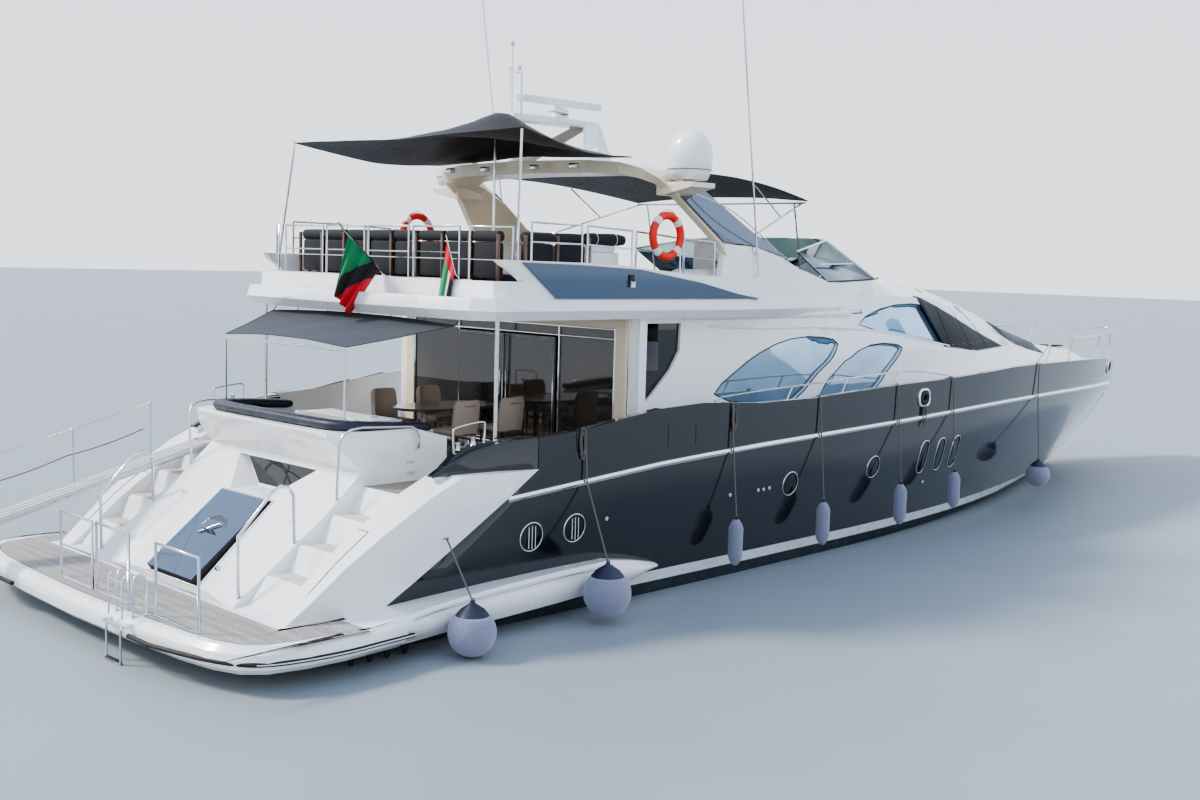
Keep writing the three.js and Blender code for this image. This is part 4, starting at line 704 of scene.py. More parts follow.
def dressed(node, finish, smooth=32, rules=(), cuts=(), bevel=0.0, flatten=True):
    """The node's own form with several finishes; cuts are (point, normal) planes where a finish changes."""
    bm = welded_copy(node)
    for point, normal in cuts:
        geometry = bm.verts[:] + bm.edges[:] + bm.faces[:]
        bmesh.ops.bisect_plane(bm, geom=geometry, dist=0.00005, plane_co=point, plane_no=normal)
    others = apply_rules(bm, rules, 1)
    if flatten:
        bmesh.ops.dissolve_limit(bm, angle_limit=math.radians(0.6), verts=bm.verts, edges=bm.edges,
                                 delimit={"MATERIAL"})
    return stand_in(node, bm, [finish, *others], smooth, bevel)


def inset_faces(bm, faces, width, index):
    """Shrinks a region of faces and gives the inner part another finish."""
    bmesh.ops.inset_region(bm, faces=faces, thickness=width, use_even_offset=True)
    for face in faces:
        if face.is_valid:
            face.material_index = index


def inlaid(node, finish, inlay, test, width, line, smooth, rules=()):
    """The node's own form with its flat top inset: a dark line, and the inlay inside it."""
    bm = welded_copy(node)
    bmesh.ops.dissolve_limit(bm, angle_limit=math.radians(0.5), verts=bm.verts, edges=bm.edges)
    top = [face for face in bm.faces if test(face.calc_center_median(), face.normal)]
    others = apply_rules(bm, rules, 3)
    inset_faces(bm, top, width, 1)
    inset_faces(bm, [face for face in top if face.is_valid], line, 2)
    return stand_in(node, bm, [finish, "rubber", inlay, *others], smooth)


RAY_TREES = {}


def cast(node, start, direction):
    """The place and the outward normal where a ray first meets a CAD node; both None where it misses."""
    if node not in RAY_TREES:
        data = NODES[node].data
        RAY_TREES[node] = BVHTree.FromPolygons([vert.co.copy() for vert in data.vertices],
                                               [tuple(face.vertices) for face in data.polygons])
    return RAY_TREES[node].ray_cast(Vector(start), Vector(direction))[:2]


def on_node(node, start, direction):
    """Where a ray first meets a CAD node, and the surface's outward normal there."""
    place, normal = cast(node, start, direction)
    if place is None:
        raise RuntimeError(f"no surface of {node} from {tuple(start)}")
    return place, normal


def from_side(node, x, z, side, start=3.6):
    """Where a ray from one side of the boat meets a CAD node."""
    return cast(node, (x, side * start, z), (0, -side, 0))


def from_above(node, x, y, start=6):
    """Where a ray from above meets a CAD node."""
    return cast(node, (x, y, start), (0, 0, -1))


def mirrored(points):
    """The same points on the other side of the centreline."""
    return [Vector((x, -y, z)) for x, y, z in points]


def both_sides(lines):
    """Lines on the port side and their mirror images."""
    return list(lines) + [mirrored(line) for line in lines]


def smooth_line(points, steps=6, closed=False):
    """A softer line through the points."""
    count = len(points)
    points = [Vector(point) for point in points]
    line = []
    for i in range(count if closed else count - 1):
        a, b, c, d = (points[k % count if closed else min(max(k, 0), count - 1)] for k in range(i - 1, i + 3))
        for k in range(steps):
            t = k / steps
            line.append(0.5 * (2 * b + (c - a) * t + (2 * a - 5 * b + 4 * c - d) * t * t
                               + (3 * b - a - 3 * c + d) * t ** 3))
    if not closed:
        line.append(points[-1])
    return line


def oval(centre, across, up, half_width, half_height, power=2.0, steps=36):
    """A closed oval in the plane of two directions; a higher power makes it squarer."""
    line = []
    for i in range(steps):
        c, s = math.cos(math.tau * i / steps), math.sin(math.tau * i / steps)
        line.append(centre + across * half_width * math.copysign(abs(c) ** (2 / power), c)
                    + up * half_height * math.copysign(abs(s) ** (2 / power), s))
    return line


def metre_map(mesh, along="X", across="Y"):
    """A UV map in metres, seen square to the two axes."""
    layer = mesh.uv_layers[0] if mesh.uv_layers else mesh.uv_layers.new(name="UVMap")
    first, second = "XYZ".index(along), "XYZ".index(across)
    for loop in mesh.loops:
        place = mesh.vertices[loop.vertex_index].co
        layer.data[loop.index].uv = (place[first], place[second])


def padding(obj, along="X", across="Y"):
    """A padded piece with its UV map in metres."""
    metre_map(obj.data, along, across)
    return obj


SWELL_LIMIT = 0.022


def swell(obj):
    """Blows the cushion up as cloth with its corners rounded, and keeps the result."""
    remesh = obj.modifiers.new("even_faces", "REMESH")
    remesh.mode, remesh.voxel_size = "VOXEL", 0.016
    bake_modifiers(obj)
    before = [vert.co.copy() for vert in obj.data.vertices]
    cloth = obj.modifiers.new("swell", "CLOTH")
    cloth.settings.use_pressure = True
    cloth.settings.uniform_pressure_force = 4.0
    cloth.settings.tension_stiffness = cloth.settings.compression_stiffness = 12
    cloth.settings.effector_weights.gravity = 0
    for number in range(1, sizes().cloth_steps + 1):
        bpy.context.scene.frame_set(number)
    bake_modifiers(obj)
    bpy.context.scene.frame_set(1)
    for vert, old in zip(obj.data.vertices, before):
        move = vert.co - old
        if move.length > SWELL_LIMIT:
            vert.co = old + move * (SWELL_LIMIT / move.length)


def pillows(name, low, high, radius, places, finish):
    """Copies of one swollen cushion at (offset, turn about Z)."""
    template = Shape().block(low, high, radius)
    one = new_object(name + "_template", mesh_of(name + "_template", template.bm))
    swell(one)
    copies = Shape()
    copies.bm.from_mesh(one.data)
    bpy.data.objects.remove(one)
    return copies.repeat(name, [(place, (0, 0, turn)) for place, turn in places], finish, smooth=80)


# Hull

ROUND_PORTS = ((-9.9, 1.23), (-9.1, 1.26), (-4.16, 1.41), (-1.7, 1.47))
OVAL_PORTS = ((0.03, 1.5), (0.66, 1.5), (1.26, 1.5))
OUTLETS = ((-8.47, 1.32), (-5.72, 1.38), (-5.01, 1.385), (-4.87, 1.385), (-4.72, 1.39), (0.3, 0.98))
GATE_X = (-7.29, -6.68)
FAIRLEADS = ((-0.3, 2.64), (10.6, 2.72))


def hull_side(x, z, side):
    """A place on the hull's outer side, with its normal."""
    return on_node("hull", (x, side * 6, z), (0, -side, 0))


def on_shaft(point):
    """Whether a place lies on a propeller shaft, well below the bottom."""
    height = -1.35 + (point.x + 11.99) * 0.185
    return abs(abs(point.y) - 1.15) < 0.1 and abs(point.z - height) < 0.1 and point.x < -10.2


def finish_hull():
    """Topsides, boot stripe, bottom paint, teak decks and pale bulwark linings."""
    cuts = [((0, 0, z), UP) for z in (BOOT_LOW_Z, BOOT_HIGH_Z)]
    dressed("hull", "topside", 28, cuts=cuts, flatten=False, rules=[
        ("gelcoat", lambda c, n: c.z > 1.7 and n.y * c.y < -0.2 * abs(c.y)),
        ("teak", lambda c, n: n.z > 0.7 and 1.8 < c.z < 2.45),
        ("boot", lambda c, n: BOOT_LOW_Z < c.z < BOOT_HIGH_Z and n.z < 0.5),
        ("bottom", lambda c, n: c.z < BOOT_LOW_Z),
        ("bronze", lambda c, n: c.z < -0.3 and c.x < -8 and on_shaft(c)),
    ])
    dressed("rub_strake", "chrome", 40)
    stem = [on_node("hull", (20, 0.02, 1.9 - 0.11 * k), (-1, 0, 0))[0] for k in range(15)]
    swept("stem_strip", [[(place.x + 0.012, 0, place.z) for place in stem]], 0.03, "chrome")
    hull_ports()
    seams = [[place + normal * 0.001 for place,
              normal in (hull_side(x, 2.25 + 0.09 * k, side) for k in range(5))]
             for x in GATE_X for _, side in SIDES]
    swept("gate_seams", seams, 0.005, "rubber", "topside")


def port_frames(ports, grow_by, lift):
    """Closed lines on both sides of the hull round ports of (x, z, half width, half height)."""
    lines = []
    for x, z, half_width, half_height in ports:
        for _, side in SIDES:
            place, normal = hull_side(x, z, side)
            forward = UP.cross(normal).normalized()
            up = normal.cross(forward).normalized()
            power = 2.0 if half_width == half_height else 3.0
            lines.append(oval(place + normal * lift, forward, up, half_width + grow_by, half_height + grow_by,
                              power))
    return lines


def hull_ports():
    """Portlights with bright rims, dark glass and bars; outlets and fairleads."""
    radius = sizes().porthole
    ports = [(x, z, radius, radius) for x, z in ROUND_PORTS] + [(x, z, 0.15, 0.32) for x, z in OVAL_PORTS]
    outlets = [(x, z, 0.02, 0.02) for x, z in OUTLETS]
    fairleads, throats = ([(x, z, *half) for x, z in FAIRLEADS] for half in ((0.17, 0.15), (0.1, 0.085)))
    for name, places, grow_by, lift, thick, finish, slot in (
            ("port_rims", ports, 0, 0.004, 0.01, "chrome", "chrome"),
            ("port_gaskets", ports, -0.02, 0.006, 0.012, "rubber", "dark_glass"),
            ("outlet_rims", outlets, 0, 0.004, 0.01, "chrome", "chrome"),
            ("fairlead_rims", fairleads, 0, 0.008, 0.03, "chrome", "chrome"),
            ("fairlead_throats", throats, 0, 0.004, 0.05, "rubber", "topside")):
        swept(name, port_frames(places, grow_by, lift), thick, finish, slot, closed=True)
    glass = Shape()
    sites = [hull_side(x, z, side) for x, z, _, _ in ports for _, side in SIDES]
    for (place, normal), edge in zip(sites, port_frames(ports, -0.01, 0.004)):
        middle = place + normal * 0.016
        centre = glass.bm.verts.new(middle)
        inner, rim = ([glass.bm.verts.new(point.lerp(middle, share)) for point in edge]
                      for share in (0.35, 0.0))
        for i in range(len(rim)):
            j = (i + 1) % len(rim)
            glass.bm.faces.new((rim[i], rim[j], inner[j], inner[i]))
            glass.bm.faces.new((inner[i], inner[j], centre))
    bmesh.ops.recalc_face_normals(glass.bm, faces=glass.bm.faces)
    glass.piece("port_glass", "blackglass", "dark_glass", smooth=40)
    bars = []
    for place, normal in (hull_side(x, z, side) for x, z in ROUND_PORTS[:2] for _, side in SIDES):
        for shift in (-0.06, 0.0, 0.06):
            reach = math.sqrt(0.16 ** 2 - shift ** 2)
            bars.append([place + normal * 0.02 + Vector((shift, 0, s * reach)) for s in (-1, 1)])
    swept("port_bars", bars, 0.008, "chrome")


# Stern

STEP_FEET = [(-13.12 + 0.487 * i, 0.575 + (SOLE_Z - 0.575) / 4 * (i + 1)) for i in range(4)]
STAIR_MIDDLE = 2.35
# Columns: x, outer y, inner y, foot z and top z of the dark fairing that ends the bulwark
FAIRING = ((-9.8, 3.412, 3.11, 1.91, 2.588), (-9.95, 3.385, 3.11, 2.15, 2.58),
           (-10.15, 3.325, 3.11, 2.15, 2.565),
           (-10.4, 3.25, 3.09, 2.15, 2.53), (-10.8, 3.19, 3.05, 2.15, 2.45), (-11.15, 3.15, 3.01, 2.15, 2.31),
           (-11.42, 3.13, 3.0, 2.15, 2.175))
SLOPE_FOOT = Vector((-13.4, 0, 0.54))
SLOPE_TOP = Vector((-12.25, 0, 1.575))
SLOPE_UP = (SLOPE_TOP - SLOPE_FOOT).normalized()
SLOPE_OUT = Vector((-SLOPE_UP.z, 0, SLOPE_UP.x))


def finish_stern():
    """White mouldings, non-skid treads, the dark fairings and the lockers' seams."""
    dressed("stern_moulding", "gelcoat", 24, bevel=sizes().round_edge, flatten=False, rules=[
        ("teak", lambda c, n: n.z > 0.9 and 1.88 < c.z < 1.92 and -11.7 < c.x),
        ("topside", lambda c, n: 2.99 < abs(c.y) < 3.14 and c.z > 2.17),
    ])
    pads, fairings, lights, latches = Shape(), Shape(), Shape(), Shape()
    for x, z in STEP_FEET[:3]:
        pads.pair((x + 0.02, STAIR_MIDDLE - 0.33, z - 0.03), (x + 0.3, STAIR_MIDDLE + 0.33, z + 0.008), 0.003)
    pads.piece("stair_pads", "nonskid", "gelcoat")
    seams = both_sides([
        [(-13.2, 2.98, 0.853), (-12.8, 2.99, 1.194), (-12.32, 3.0, 1.535)],
        [(-12.32, 3.0, 1.535), (-12.32, 2.78, 1.535)],
        [(-13.28, 2.02, 0.64), (-13.17, 2.02, 0.82), (-13.17, 2.68, 0.82), (-13.28, 2.68, 0.64)]])
    swept("stern_seams", [smooth_line(seam, 3) for seam in seams], 0.004, "rubber", "gelcoat")
    hatch_and_niche()
    for z in (2.02, 2.17):
        lights.pair((-10.95, 1.945, z - 0.02), (-10.81, 1.958, z + 0.02), 0.004)
    lights.piece("arm_lights", "lens", "gelcoat", smooth=40)
    doors = [oval(Vector((STEP_FEET[3][0] - 0.03, side * STAIR_MIDDLE, 1.72)), ACROSS,
                  Vector((0.25, 0, 0.97)),
                  0.3, 0.12, 5) for _, side in SIDES]
    panels = [oval(on_slope(0.9, side * 1.42, 0.001), ACROSS, SLOPE_UP, 0.26, 0.42, 6) for _, side in SIDES]
    swept("locker_seams", doors + panels, 0.005, "rubber", "gelcoat", closed=True)
    for y in (-0.78, 0.74):
        latches.around(on_slope(0.35, y, 0.01), (-0.03, -0.03, -0.03), (0.03, 0.03, 0.03), 0.01)
    latches.piece("latch_plates", "steel")
    for _, side in SIDES:
        fairings.skin([[(x, side * outer, foot), (x, side * outer, top - 0.03),
                        (x, side * (outer - 0.025), top),
                        (x, side * (inner + 0.02), top), (x, side * inner, top - 0.02),
                        (x, side * inner, foot)]
                       for x, outer, inner, foot, top in FAIRING])
    fairings.piece("quarter_fairings", "topside", smooth=40)
    for node in ("stair_rail_port", "stair_rail_starboard", "coaming_rail_port", "coaming_rail_starboard"):
        dressed(node, "steel", 50)
    quarter_fittings()


def on_slope(along, y, out):
    """A place on the sloping transom."""
    return SLOPE_FOOT + SLOPE_UP * along + SLOPE_OUT * out + ACROSS * y


def hatch_and_niche():
    """The garage hatch with its handle, gutter frame and shadow line, painted shadow on its edges and painted
    shade in its handle's recess, and the glazed niche above.
    """
    body = "transom_hatch"
    # The hatch's edge faces are black: painted shadow of the gap round the raised panel.
    dressed(body, "slate", 30, bevel=sizes().round_edge,
            rules=[("rubber", lambda c, n: n.dot(SLOPE_OUT) < 0.5)])
    for name, low, high, starboard, port, out, radius, finish, slot in (
            ("hatch_gutter", 0.01, 1.56, -0.7, 0.66, 0.004, 0.018, "gelcoat", "gelcoat"),
            ("hatch_shadow", 0.02, 1.53, -0.652, 0.612, 0.002, 0.012, "rubber", "dark_glass")):
        ring = [on_slope(*place, out)
                for place in ((low, starboard), (high, starboard), (high, port), (low, port))]
        swept(name, [ring], radius, finish, slot, closed=True)
    place = on_slope(0.84, -0.02, 0.068)
    recess = oval(place, ACROSS, SLOPE_UP, 0.27, 0.25, steps=48)
    swept("hatch_recess", [recess], 0.012, "slate", "topside", body, closed=True)
    # A dark shallow dish on the hatch: painted shade of the handle's recess.
    dish = Shape().skin([oval(on_slope(0.84, -0.02, out), ACROSS, SLOPE_UP, half, half * 0.93, steps=48)
                         for half, out in ((0.262, 0.06), (0.262, 0.071), (0.245, 0.0725), (0.2, 0.0715))])
    dish.piece("hatch_recess_dish", "topside", body=body)
    slant = (ACROSS * 0.83 - SLOPE_UP * 0.55).normalized()
    swept("hatch_handle", [[place + slant * reach + SLOPE_OUT * out for reach, out in
                            ((-0.19, 0), (-0.18, 0.035), (0.18, 0.035), (0.19, 0))]], 0.016, "steel",
                            body=body)
    pane = [(-11.735, -0.5, 1.63), (-11.735, 0.5, 1.63), (-11.68, 0.86, 1.98), (-11.68, -0.86, 1.98)]
    Shape().skin([[(x - back, y, z) for x, y, z in pane] for back in (0, 0.02)]).piece(
        "niche_glass", "blackglass", "dark_glass")


def cleat(shape, place, span):
    """Adds a two-horned cleat."""
    shape.around(place, (-0.06, -0.03, 0), (0.06, 0.03, 0.012), 0.005)
    for shift in (-0.055, 0.055):
        shape.around(place, (shift - 0.016, -0.016, -0.005), (shift + 0.016, 0.016, 0.065), 0.008)
    profile = [(0.0, -span / 2), (0.012, 0.008 - span / 2), (0.02, -span * 0.2), (0.02, span * 0.2),
               (0.012, span / 2 - 0.008), (0.0, span / 2)]
    shape.lathe(profile, Vector(place) + Vector((0, 0, 0.07)), 14, turned(90, "Y"))


def quarter_fittings():
    """Cleats, rollers and low rails on the quarters."""
    cleats = Shape()
    for _, side in SIDES:
        cleat(cleats, (-10.5, side * 2.92, 2.174), 0.3)
        cleat(cleats, (-11.0, side * 2.85, 2.162), 0.26)
        for x, z in ((-10.95, 2.44), (-10.7, 2.5)):
            cleats.lathe([(0.03, 0), (0.045, 0.01), (0.028, 0.05), (0.028, 0.09), (0.045, 0.13), (0.0, 0.14)],
                         (x, side * 3.06, z), 20)
    cleats.piece("quarter_cleats", "steel", smooth=40)
    rail = smooth_line([(-11.02, 3.06, 2.42), (-11.04, 3.06, 2.68), (-10.98, 3.06, 2.76),
                        (-10.56, 3.06, 2.81),
                        (-10.5, 3.06, 2.74), (-10.52, 3.06, 2.5)], 5)
    swept("quarter_rails", both_sides([rail]), 0.014, "steel")


# Swim platform

RUB_LINE = [(-14.85, -2.2), (-14.74, -2.75), (-14.64, -3.12), (-14.46, -3.53), (-14.2, -3.76),
            (-13.75, -3.87),
            (-13.2, -3.9), (-12.7, -3.85), (-12.2, -3.8)]
WING_STRIP = [(-12.2, 3.8, 0.56), (-11.5, 3.69, 0.6), (-10.5, 3.64, 0.64), (-9.5, 3.61, 0.67),
              (-8.49, 3.565, 0.68)]


def finish_platform():
    """White rim, bleached teak, black rubbing strip, rails and the boarding ladder."""
    inlaid("swim_platform", "gelcoat", "tread", lambda c, n: n.z > 0.98 and c.x < -12.9 and c.z > 0.53, 0.1,
           0.012, 26)
    rub = smooth_line([(x, y, 0.37) for x, y in RUB_LINE], 5)
    bead = [(x, y - 0.022 if x > -14.4 else y, z) for x, y, z in rub]
    handrail = [[(-14.88, y, 0.56), (-14.88, y, 1.02), (-14.84, y, 1.06)] for y in (-1.60, -1.25)]
    handrail += [[(-14.88, -1.60, z), (-14.88, -1.25, z)] for z in (0.79, 1.0)]
    for name, lines, radius, finish, slot in (
            ("platform_rub_strip", both_sides([rub]), 0.03, "rubber", "topside"),
            ("platform_rub_bead", both_sides([bead]), 0.012, "steel", "steel"),
            ("platform_bumper", both_sides([[(-14.853, y, 0.37) for y in (-2.2, -1.7)]]), 0.03, "rubber",
             "topside"),
            ("wing_strip", both_sides([smooth_line(WING_STRIP, 3)]), 0.014, "steel", "steel"),
            ("ladder_handrail", handrail, 0.013, "steel", "steel")):
        swept(name, lines, radius, finish, slot)
    brackets, treads = Shape(), Shape()
    for _, side in SIDES:
        for x in (-12.82, -12.55, -12.29, -12.02):
            tooth = [(x - 0.1, side * 3.42, 0.23), (x + 0.1, side * 3.42, 0.23), (x, side * 3.38, -0.05)]
            brackets.skin([tooth, [(px, py - side * 0.03, pz) for px, py, pz in tooth]])
    brackets.piece("platform_brackets", "rubber", "topside")
    for z in (0.02, -0.31, -0.64):
        treads.block((-14.94, -1.59, z + 0.01), (-14.88, -1.26, z + 0.022), 0.004)
    treads.piece("ladder_treads", "rubber", "steel", "boarding_ladder")
    dressed("platform_rails", "steel", 50)
    dressed("boarding_ladder", "steel", 45)


# Cockpit

BOLSTER_PATH = [(-10.44, -1.76, 2.6), (-11.3, -1.75, 2.66), (-11.62, -1.68, 2.68), (-11.8, -1.5, 2.685),
                (-11.86, -1.2, 2.69), (-11.87, -0.6, 2.69)]
CHAIRS = [(-9.15, -0.78, 0), (-8.25, -0.78, 0), (-9.15, 0.78, math.pi), (-8.25, 0.78, math.pi)]
# Columns: z, half width and inset of the chair's wrapped back
CHAIR_BACK = ((0.4, 0.21, 0.02), (0.42, 0.235, 0.0), (0.6, 0.245, 0.0), (0.86, 0.235, 0.0),
              (0.925, 0.215, 0.012),
              (0.94, 0.19, 0.028))
TABLE_EDGE = [(-9.65, 0), (-9.52, 0.3), (-9.2, 0.47), (-8.7, 0.5), (-8.2, 0.47), (-7.88, 0.3), (-7.75, 0),
              (-7.88, -0.3), (-8.2, -0.47), (-8.7, -0.5), (-9.2, -0.47), (-9.52, -0.3)]


def finish_cockpit():
    """Swollen sofa cushions, the dining chairs and table, poles, bulkhead and sliding doors."""
    half_long, half_wide, thick, seat_z, inset = 0.27, 0.28, 0.12, 2.257, 0.012
    seats = [(-11.25, -1.42 + 0.568 * i, seat_z) for i in range(6)] + [(-10.67, s * 1.45, seat_z)
                                                                       for s in (1, -1)]
    made = padding(pillows("sofa_cushions", (-half_long, -half_wide, 0), (half_long, half_wide, thick), 0.035,
                           [(place, 0.0) for place in seats], "navy"))
    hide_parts("cockpit_cushions")
    piping = [[Vector(place) + Vector((a * (half_long - inset), b * (half_wide - inset), thick - 0.004))
               for a, b in ((-1, -1), (1, -1), (1, 1), (-1, 1))] for place in seats]
    swept("sofa_piping", piping, sizes().seam, "rubber", "navy", closed=True)
    backs = [((-11.49, -1.35 + 0.54 * i, 2.36), 0.0) for i in range(6)]
    made = padding(pillows("sofa_backs", (-0.05, -0.262, 0), (0.045, 0.262, 0.27), 0.03, backs, "navy"))
    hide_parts("cockpit_cushions")
    sofa_bolster()
    dining()
    for node in ("cockpit_pole_port", "cockpit_pole_starboard"):
        dressed(node, "steel", 50)
    bulkhead()
    table = [(-10.87, -0.87, 2.602), (-10.28, -0.87, 2.602), (-10.28, 0.87, 2.602), (-10.87, 0.87, 2.602)]
    swept("aft_table_rim", [table], 0.006, "steel", closed=True)


def sofa_bolster():
    """The long padded roll on the sofa's coaming, sewn in sections."""
    half = smooth_line(BOLSTER_PATH, 6) + [Vector((-11.87, 0, 2.69))]
    path = half + mirrored(half[:-1])[::-1]
    rings = []
    travelled = 0.0
    for i, point in enumerate(path):
        before, after = path[max(i - 1, 0)], path[min(i + 1, len(path) - 1)]
        travelled += (point - before).length
        size = (1 - 0.1 * max(0.0, math.cos(math.tau * travelled / 0.62)) ** 12) * (
            0.75 if i in (0, len(path) - 1) else 1.0)
        side = UP.cross((after - before).normalized()).normalized()
        rings.append(oval(point, side, UP, 0.115 * size, 0.07 * size, 2.6, 20))
    made = padding(Shape().skin(rings).piece("sofa_bolster", "navy", smooth=70))
    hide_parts("cockpit_cushions")


def dining():
    """Upholstered chairs on wooden legs round an oval table."""
    turns = [((x, y, SOLE_Z), (0, 0, turn)) for x, y, turn in CHAIRS]
    seat, legs, seams, columns = Shape(), Shape(), Shape(), Shape()
    seat.block((-0.25, -0.23, 0.405), (0.25, 0.25, 0.485), 0.035)
    rings = []
    for z, half, inset in CHAIR_BACK:
        outer = [(half * t, -0.31 + 0.07 * t * t + inset - 0.12 * (z - 0.42))
                 for t in (-1, -0.75, -0.4, 0, 0.4, 0.75, 1)]
        inner = [(x * 0.9, y + 0.075 - 2 * inset) for x, y in reversed(outer)]
        rings.append([(x, y, z) for x, y in outer + inner])
    chairs = padding(seat.skin(rings).repeat("dining_chairs", turns, "taupe"), "X", "Z")
    for x in (-0.215, 0.215):
        for y in (-0.205, 0.205):
            legs.lathe([(0.012, 0.004), (0.02, 0.41)], (x, y, 0), 12)
        legs.block((x - 0.012, -0.2, 0.3), (x + 0.012, 0.2, 0.33), 0.004)
    legs.repeat("chair_legs", turns, "walnut", "taupe")
    for z in (0.425, 0.855):
        lean = 0.06 * (0.92 - z)
        seams.block((-0.1, -0.375 + lean, z - 0.003), (0.1, -0.33 + lean, z + 0.003), 0.001)
    seams.repeat("chair_seams", turns, "rattan", "taupe")
    rim = [(p.x, p.y) for p in smooth_line([(x, y, 0) for x, y in TABLE_EDGE], 4, closed=True)]
    inner = [(-8.7 + (x + 8.7) * 0.985, y * 0.97) for x, y in rim]
    top = Shape().skin([[(x, y, z) for x, y in line] for z, line in (
        (2.61, inner), (2.62, rim), (2.64, rim), (2.65, inner))]).piece("dining_table", "walnut", "taupe")
    for x in (-9.15, -8.25):
        columns.lathe([(0.2, 1.906), (0.2, 1.916), (0.075, 1.935), (0.05, 2.0), (0.05, 2.54), (0.13, 2.61)],
                      (x, 0, 0), 28)
    columns.piece("table_columns", "steel", smooth=40)
    for made in (chairs, top):
        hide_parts("dining_set")


def bulkhead():
    """Chrome frames round smoked glass, with the doors' frames."""
    # The bulkhead's cream is painted shade on white moulding under the flybridge overhang.
    dressed("saloon_bulkhead", "cream", 30)
    dressed("bulkhead_lights", "darkglass", 30)
    for name, side in SIDES:
        node = "saloon_door_" + name
        dressed(node, "darkglass", 30, rules=[("steel", lambda c, n: c.x < -7.515)])
        near, far = side * 0.042, side * 1.162
        frame_line = [(-7.495, near, 2.005), (-7.495, far, 2.005), (-7.495, far, 3.735),
                      (-7.495, near, 3.735)]
        swept(node + "_frame", [frame_line], 0.022, "chrome", body=node, sides=6, closed=True)
    posts = [[(-7.45, y, 1.93), (-7.45, y, 3.96)] for y in (-2.46, -1.235, 1.235, 2.46)]
    posts += [[(-7.45, -2.46, z), (-7.45, 2.46, z)] for z in (3.8, 3.95)]
    posts += [[(-7.5, -2.4, 1.945), (-7.5, 2.4, 1.945)]]
    swept("bulkhead_frames", posts, 0.02, "chrome", sides=6)


# Deckhouse

BROW = [(-6.6, 4.02), (-5.6, 3.99), (-4.2, 3.94), (-2.6, 3.93), (-1.0, 3.85), (0.2, 3.74), (1.2, 3.6),
        (2.2, 3.46)]
WING_X = (-6.2, -5, -4, -3, -2.4, -2, -1.7, -1.45, -1.2)
WING_END = ((-1.6, 2.37), (-1.4, 2.33), (-1.2, 2.28), (-1.0, 2.235), (-0.8, 2.2), (-0.64, 2.19))


def finish_house():
    """White house with its lining, side windows, pilothouse glass, trunk and sewn covers."""
    dressed("deckhouse", "gelcoat", 26, flatten=False, rules=[
        ("interior", lambda c, n: n.y * c.y < -0.25 * abs(c.y) and abs(c.y) > 1.5 and -7.3 < c.x < 5),
        ("interior", lambda c, n: c.z < 4.1 and n.z < -0.7 and abs(c.y) < 2.5),
        ("teak", lambda c, n: n.z > 0.95 and c.z < 2.3)])
    dressed("foredeck_trunk", "gelcoat", 30, flatten=False)
    for name, _ in SIDES:
        dressed("saloon_window_" + name, "tint", 40, flatten=False, cuts=[((-5.8, 0, 0), AHEAD)],
                rules=[("blackglass", lambda c, n: c.x < -5.8)])
    dressed("pilothouse_glass", "tint", 40, flatten=False)
    window_gaskets()
    brows, joints = [], []
    for _, side in SIDES:
        hits = [from_side("deckhouse", x, z, side) for x, z in BROW]
        brows.append(smooth_line([place + normal * 0.008 for place, normal in hits if place], 3))
        joints.append([from_side("deckhouse", x, 4.1, side)[0] + UP * 0.05 for x in WING_X])
        joints += [[(x, side * y, z) for x, y in WING_END] for z in (4.16, 4.215)]
    swept("window_brow", brows, 0.022, "gelcoat")
    swept("wing_joint", joints, 0.06, "gelcoat")
    sewn_cover()
    saloon()
    foredeck()


def window_gaskets():
    """Dark seals along the sharp edges of the house's side windows."""
    bm = welded_copy("deckhouse")
    bm.normal_update()
    numbers, lines = {}, []
    for edge in bm.edges:
        if len(edge.link_faces) != 2 or edge.calc_face_angle(0) <= math.radians(40):
            continue
        c = (edge.verts[0].co + edge.verts[1].co) / 2
        a, b = (face.normal for face in edge.link_faces)
        if (-5.6 < c.x < 4 and 2.4 < c.z < 4.35 and abs(c.y) > 1.6 and min(abs(a.y), abs(b.y)) < 0.35
                and max(a.y * c.y, b.y * c.y) > 0.5 * abs(c.y)):
            lines.append([numbers.setdefault(vert, len(numbers)) for vert in edge.verts])
    verts = [tuple(vert.co) for vert in numbers]
    bm.free()
    tube("window_gaskets", verts, lines, 0.011, "rubber", "dark_glass", sides=6, smooth=None)


def sewn_cover():
    """The mesh cover over the windscreen, with seams and press studs."""
    obj = dressed("windscreen_cover", "cover", 60, flatten=False, cuts=[((1.85, 0, 4.45), (-0.28, 0, -1))],
                  rules=[("gelcoat", lambda c, n: c.z > 4.45 - 0.28 * (c.x - 1.85))])
    metre_map(obj.data)
    seams, places = [], []
    for _, side in SIDES:
        for x in (2.3, 3.4, 4.6):
            hits = [from_side("windscreen_cover", x + 0.03 * k, 3.4 + 0.1 * k, side, 3.4) for k in range(9)]
            seams.append([place + normal * 0.002 for place, normal in hits if place])
        hits = [from_side("windscreen_cover", 2.1 + 0.32 * k, 3.48, side) for k in range(14)]
        places += [(place, normal.to_track_quat("Z", "Y").to_euler()) for place, normal in hits if place]
    swept("cover_seams", [seam for seam in seams if len(seam) > 2], 0.006, "rubber", "cover")
    Shape().lathe([(0.012, 0), (0.012, 0.004), (0.0, 0.008)], (0, 0, 0), 10).repeat("cover_studs", places,
                                                                                    "steel")


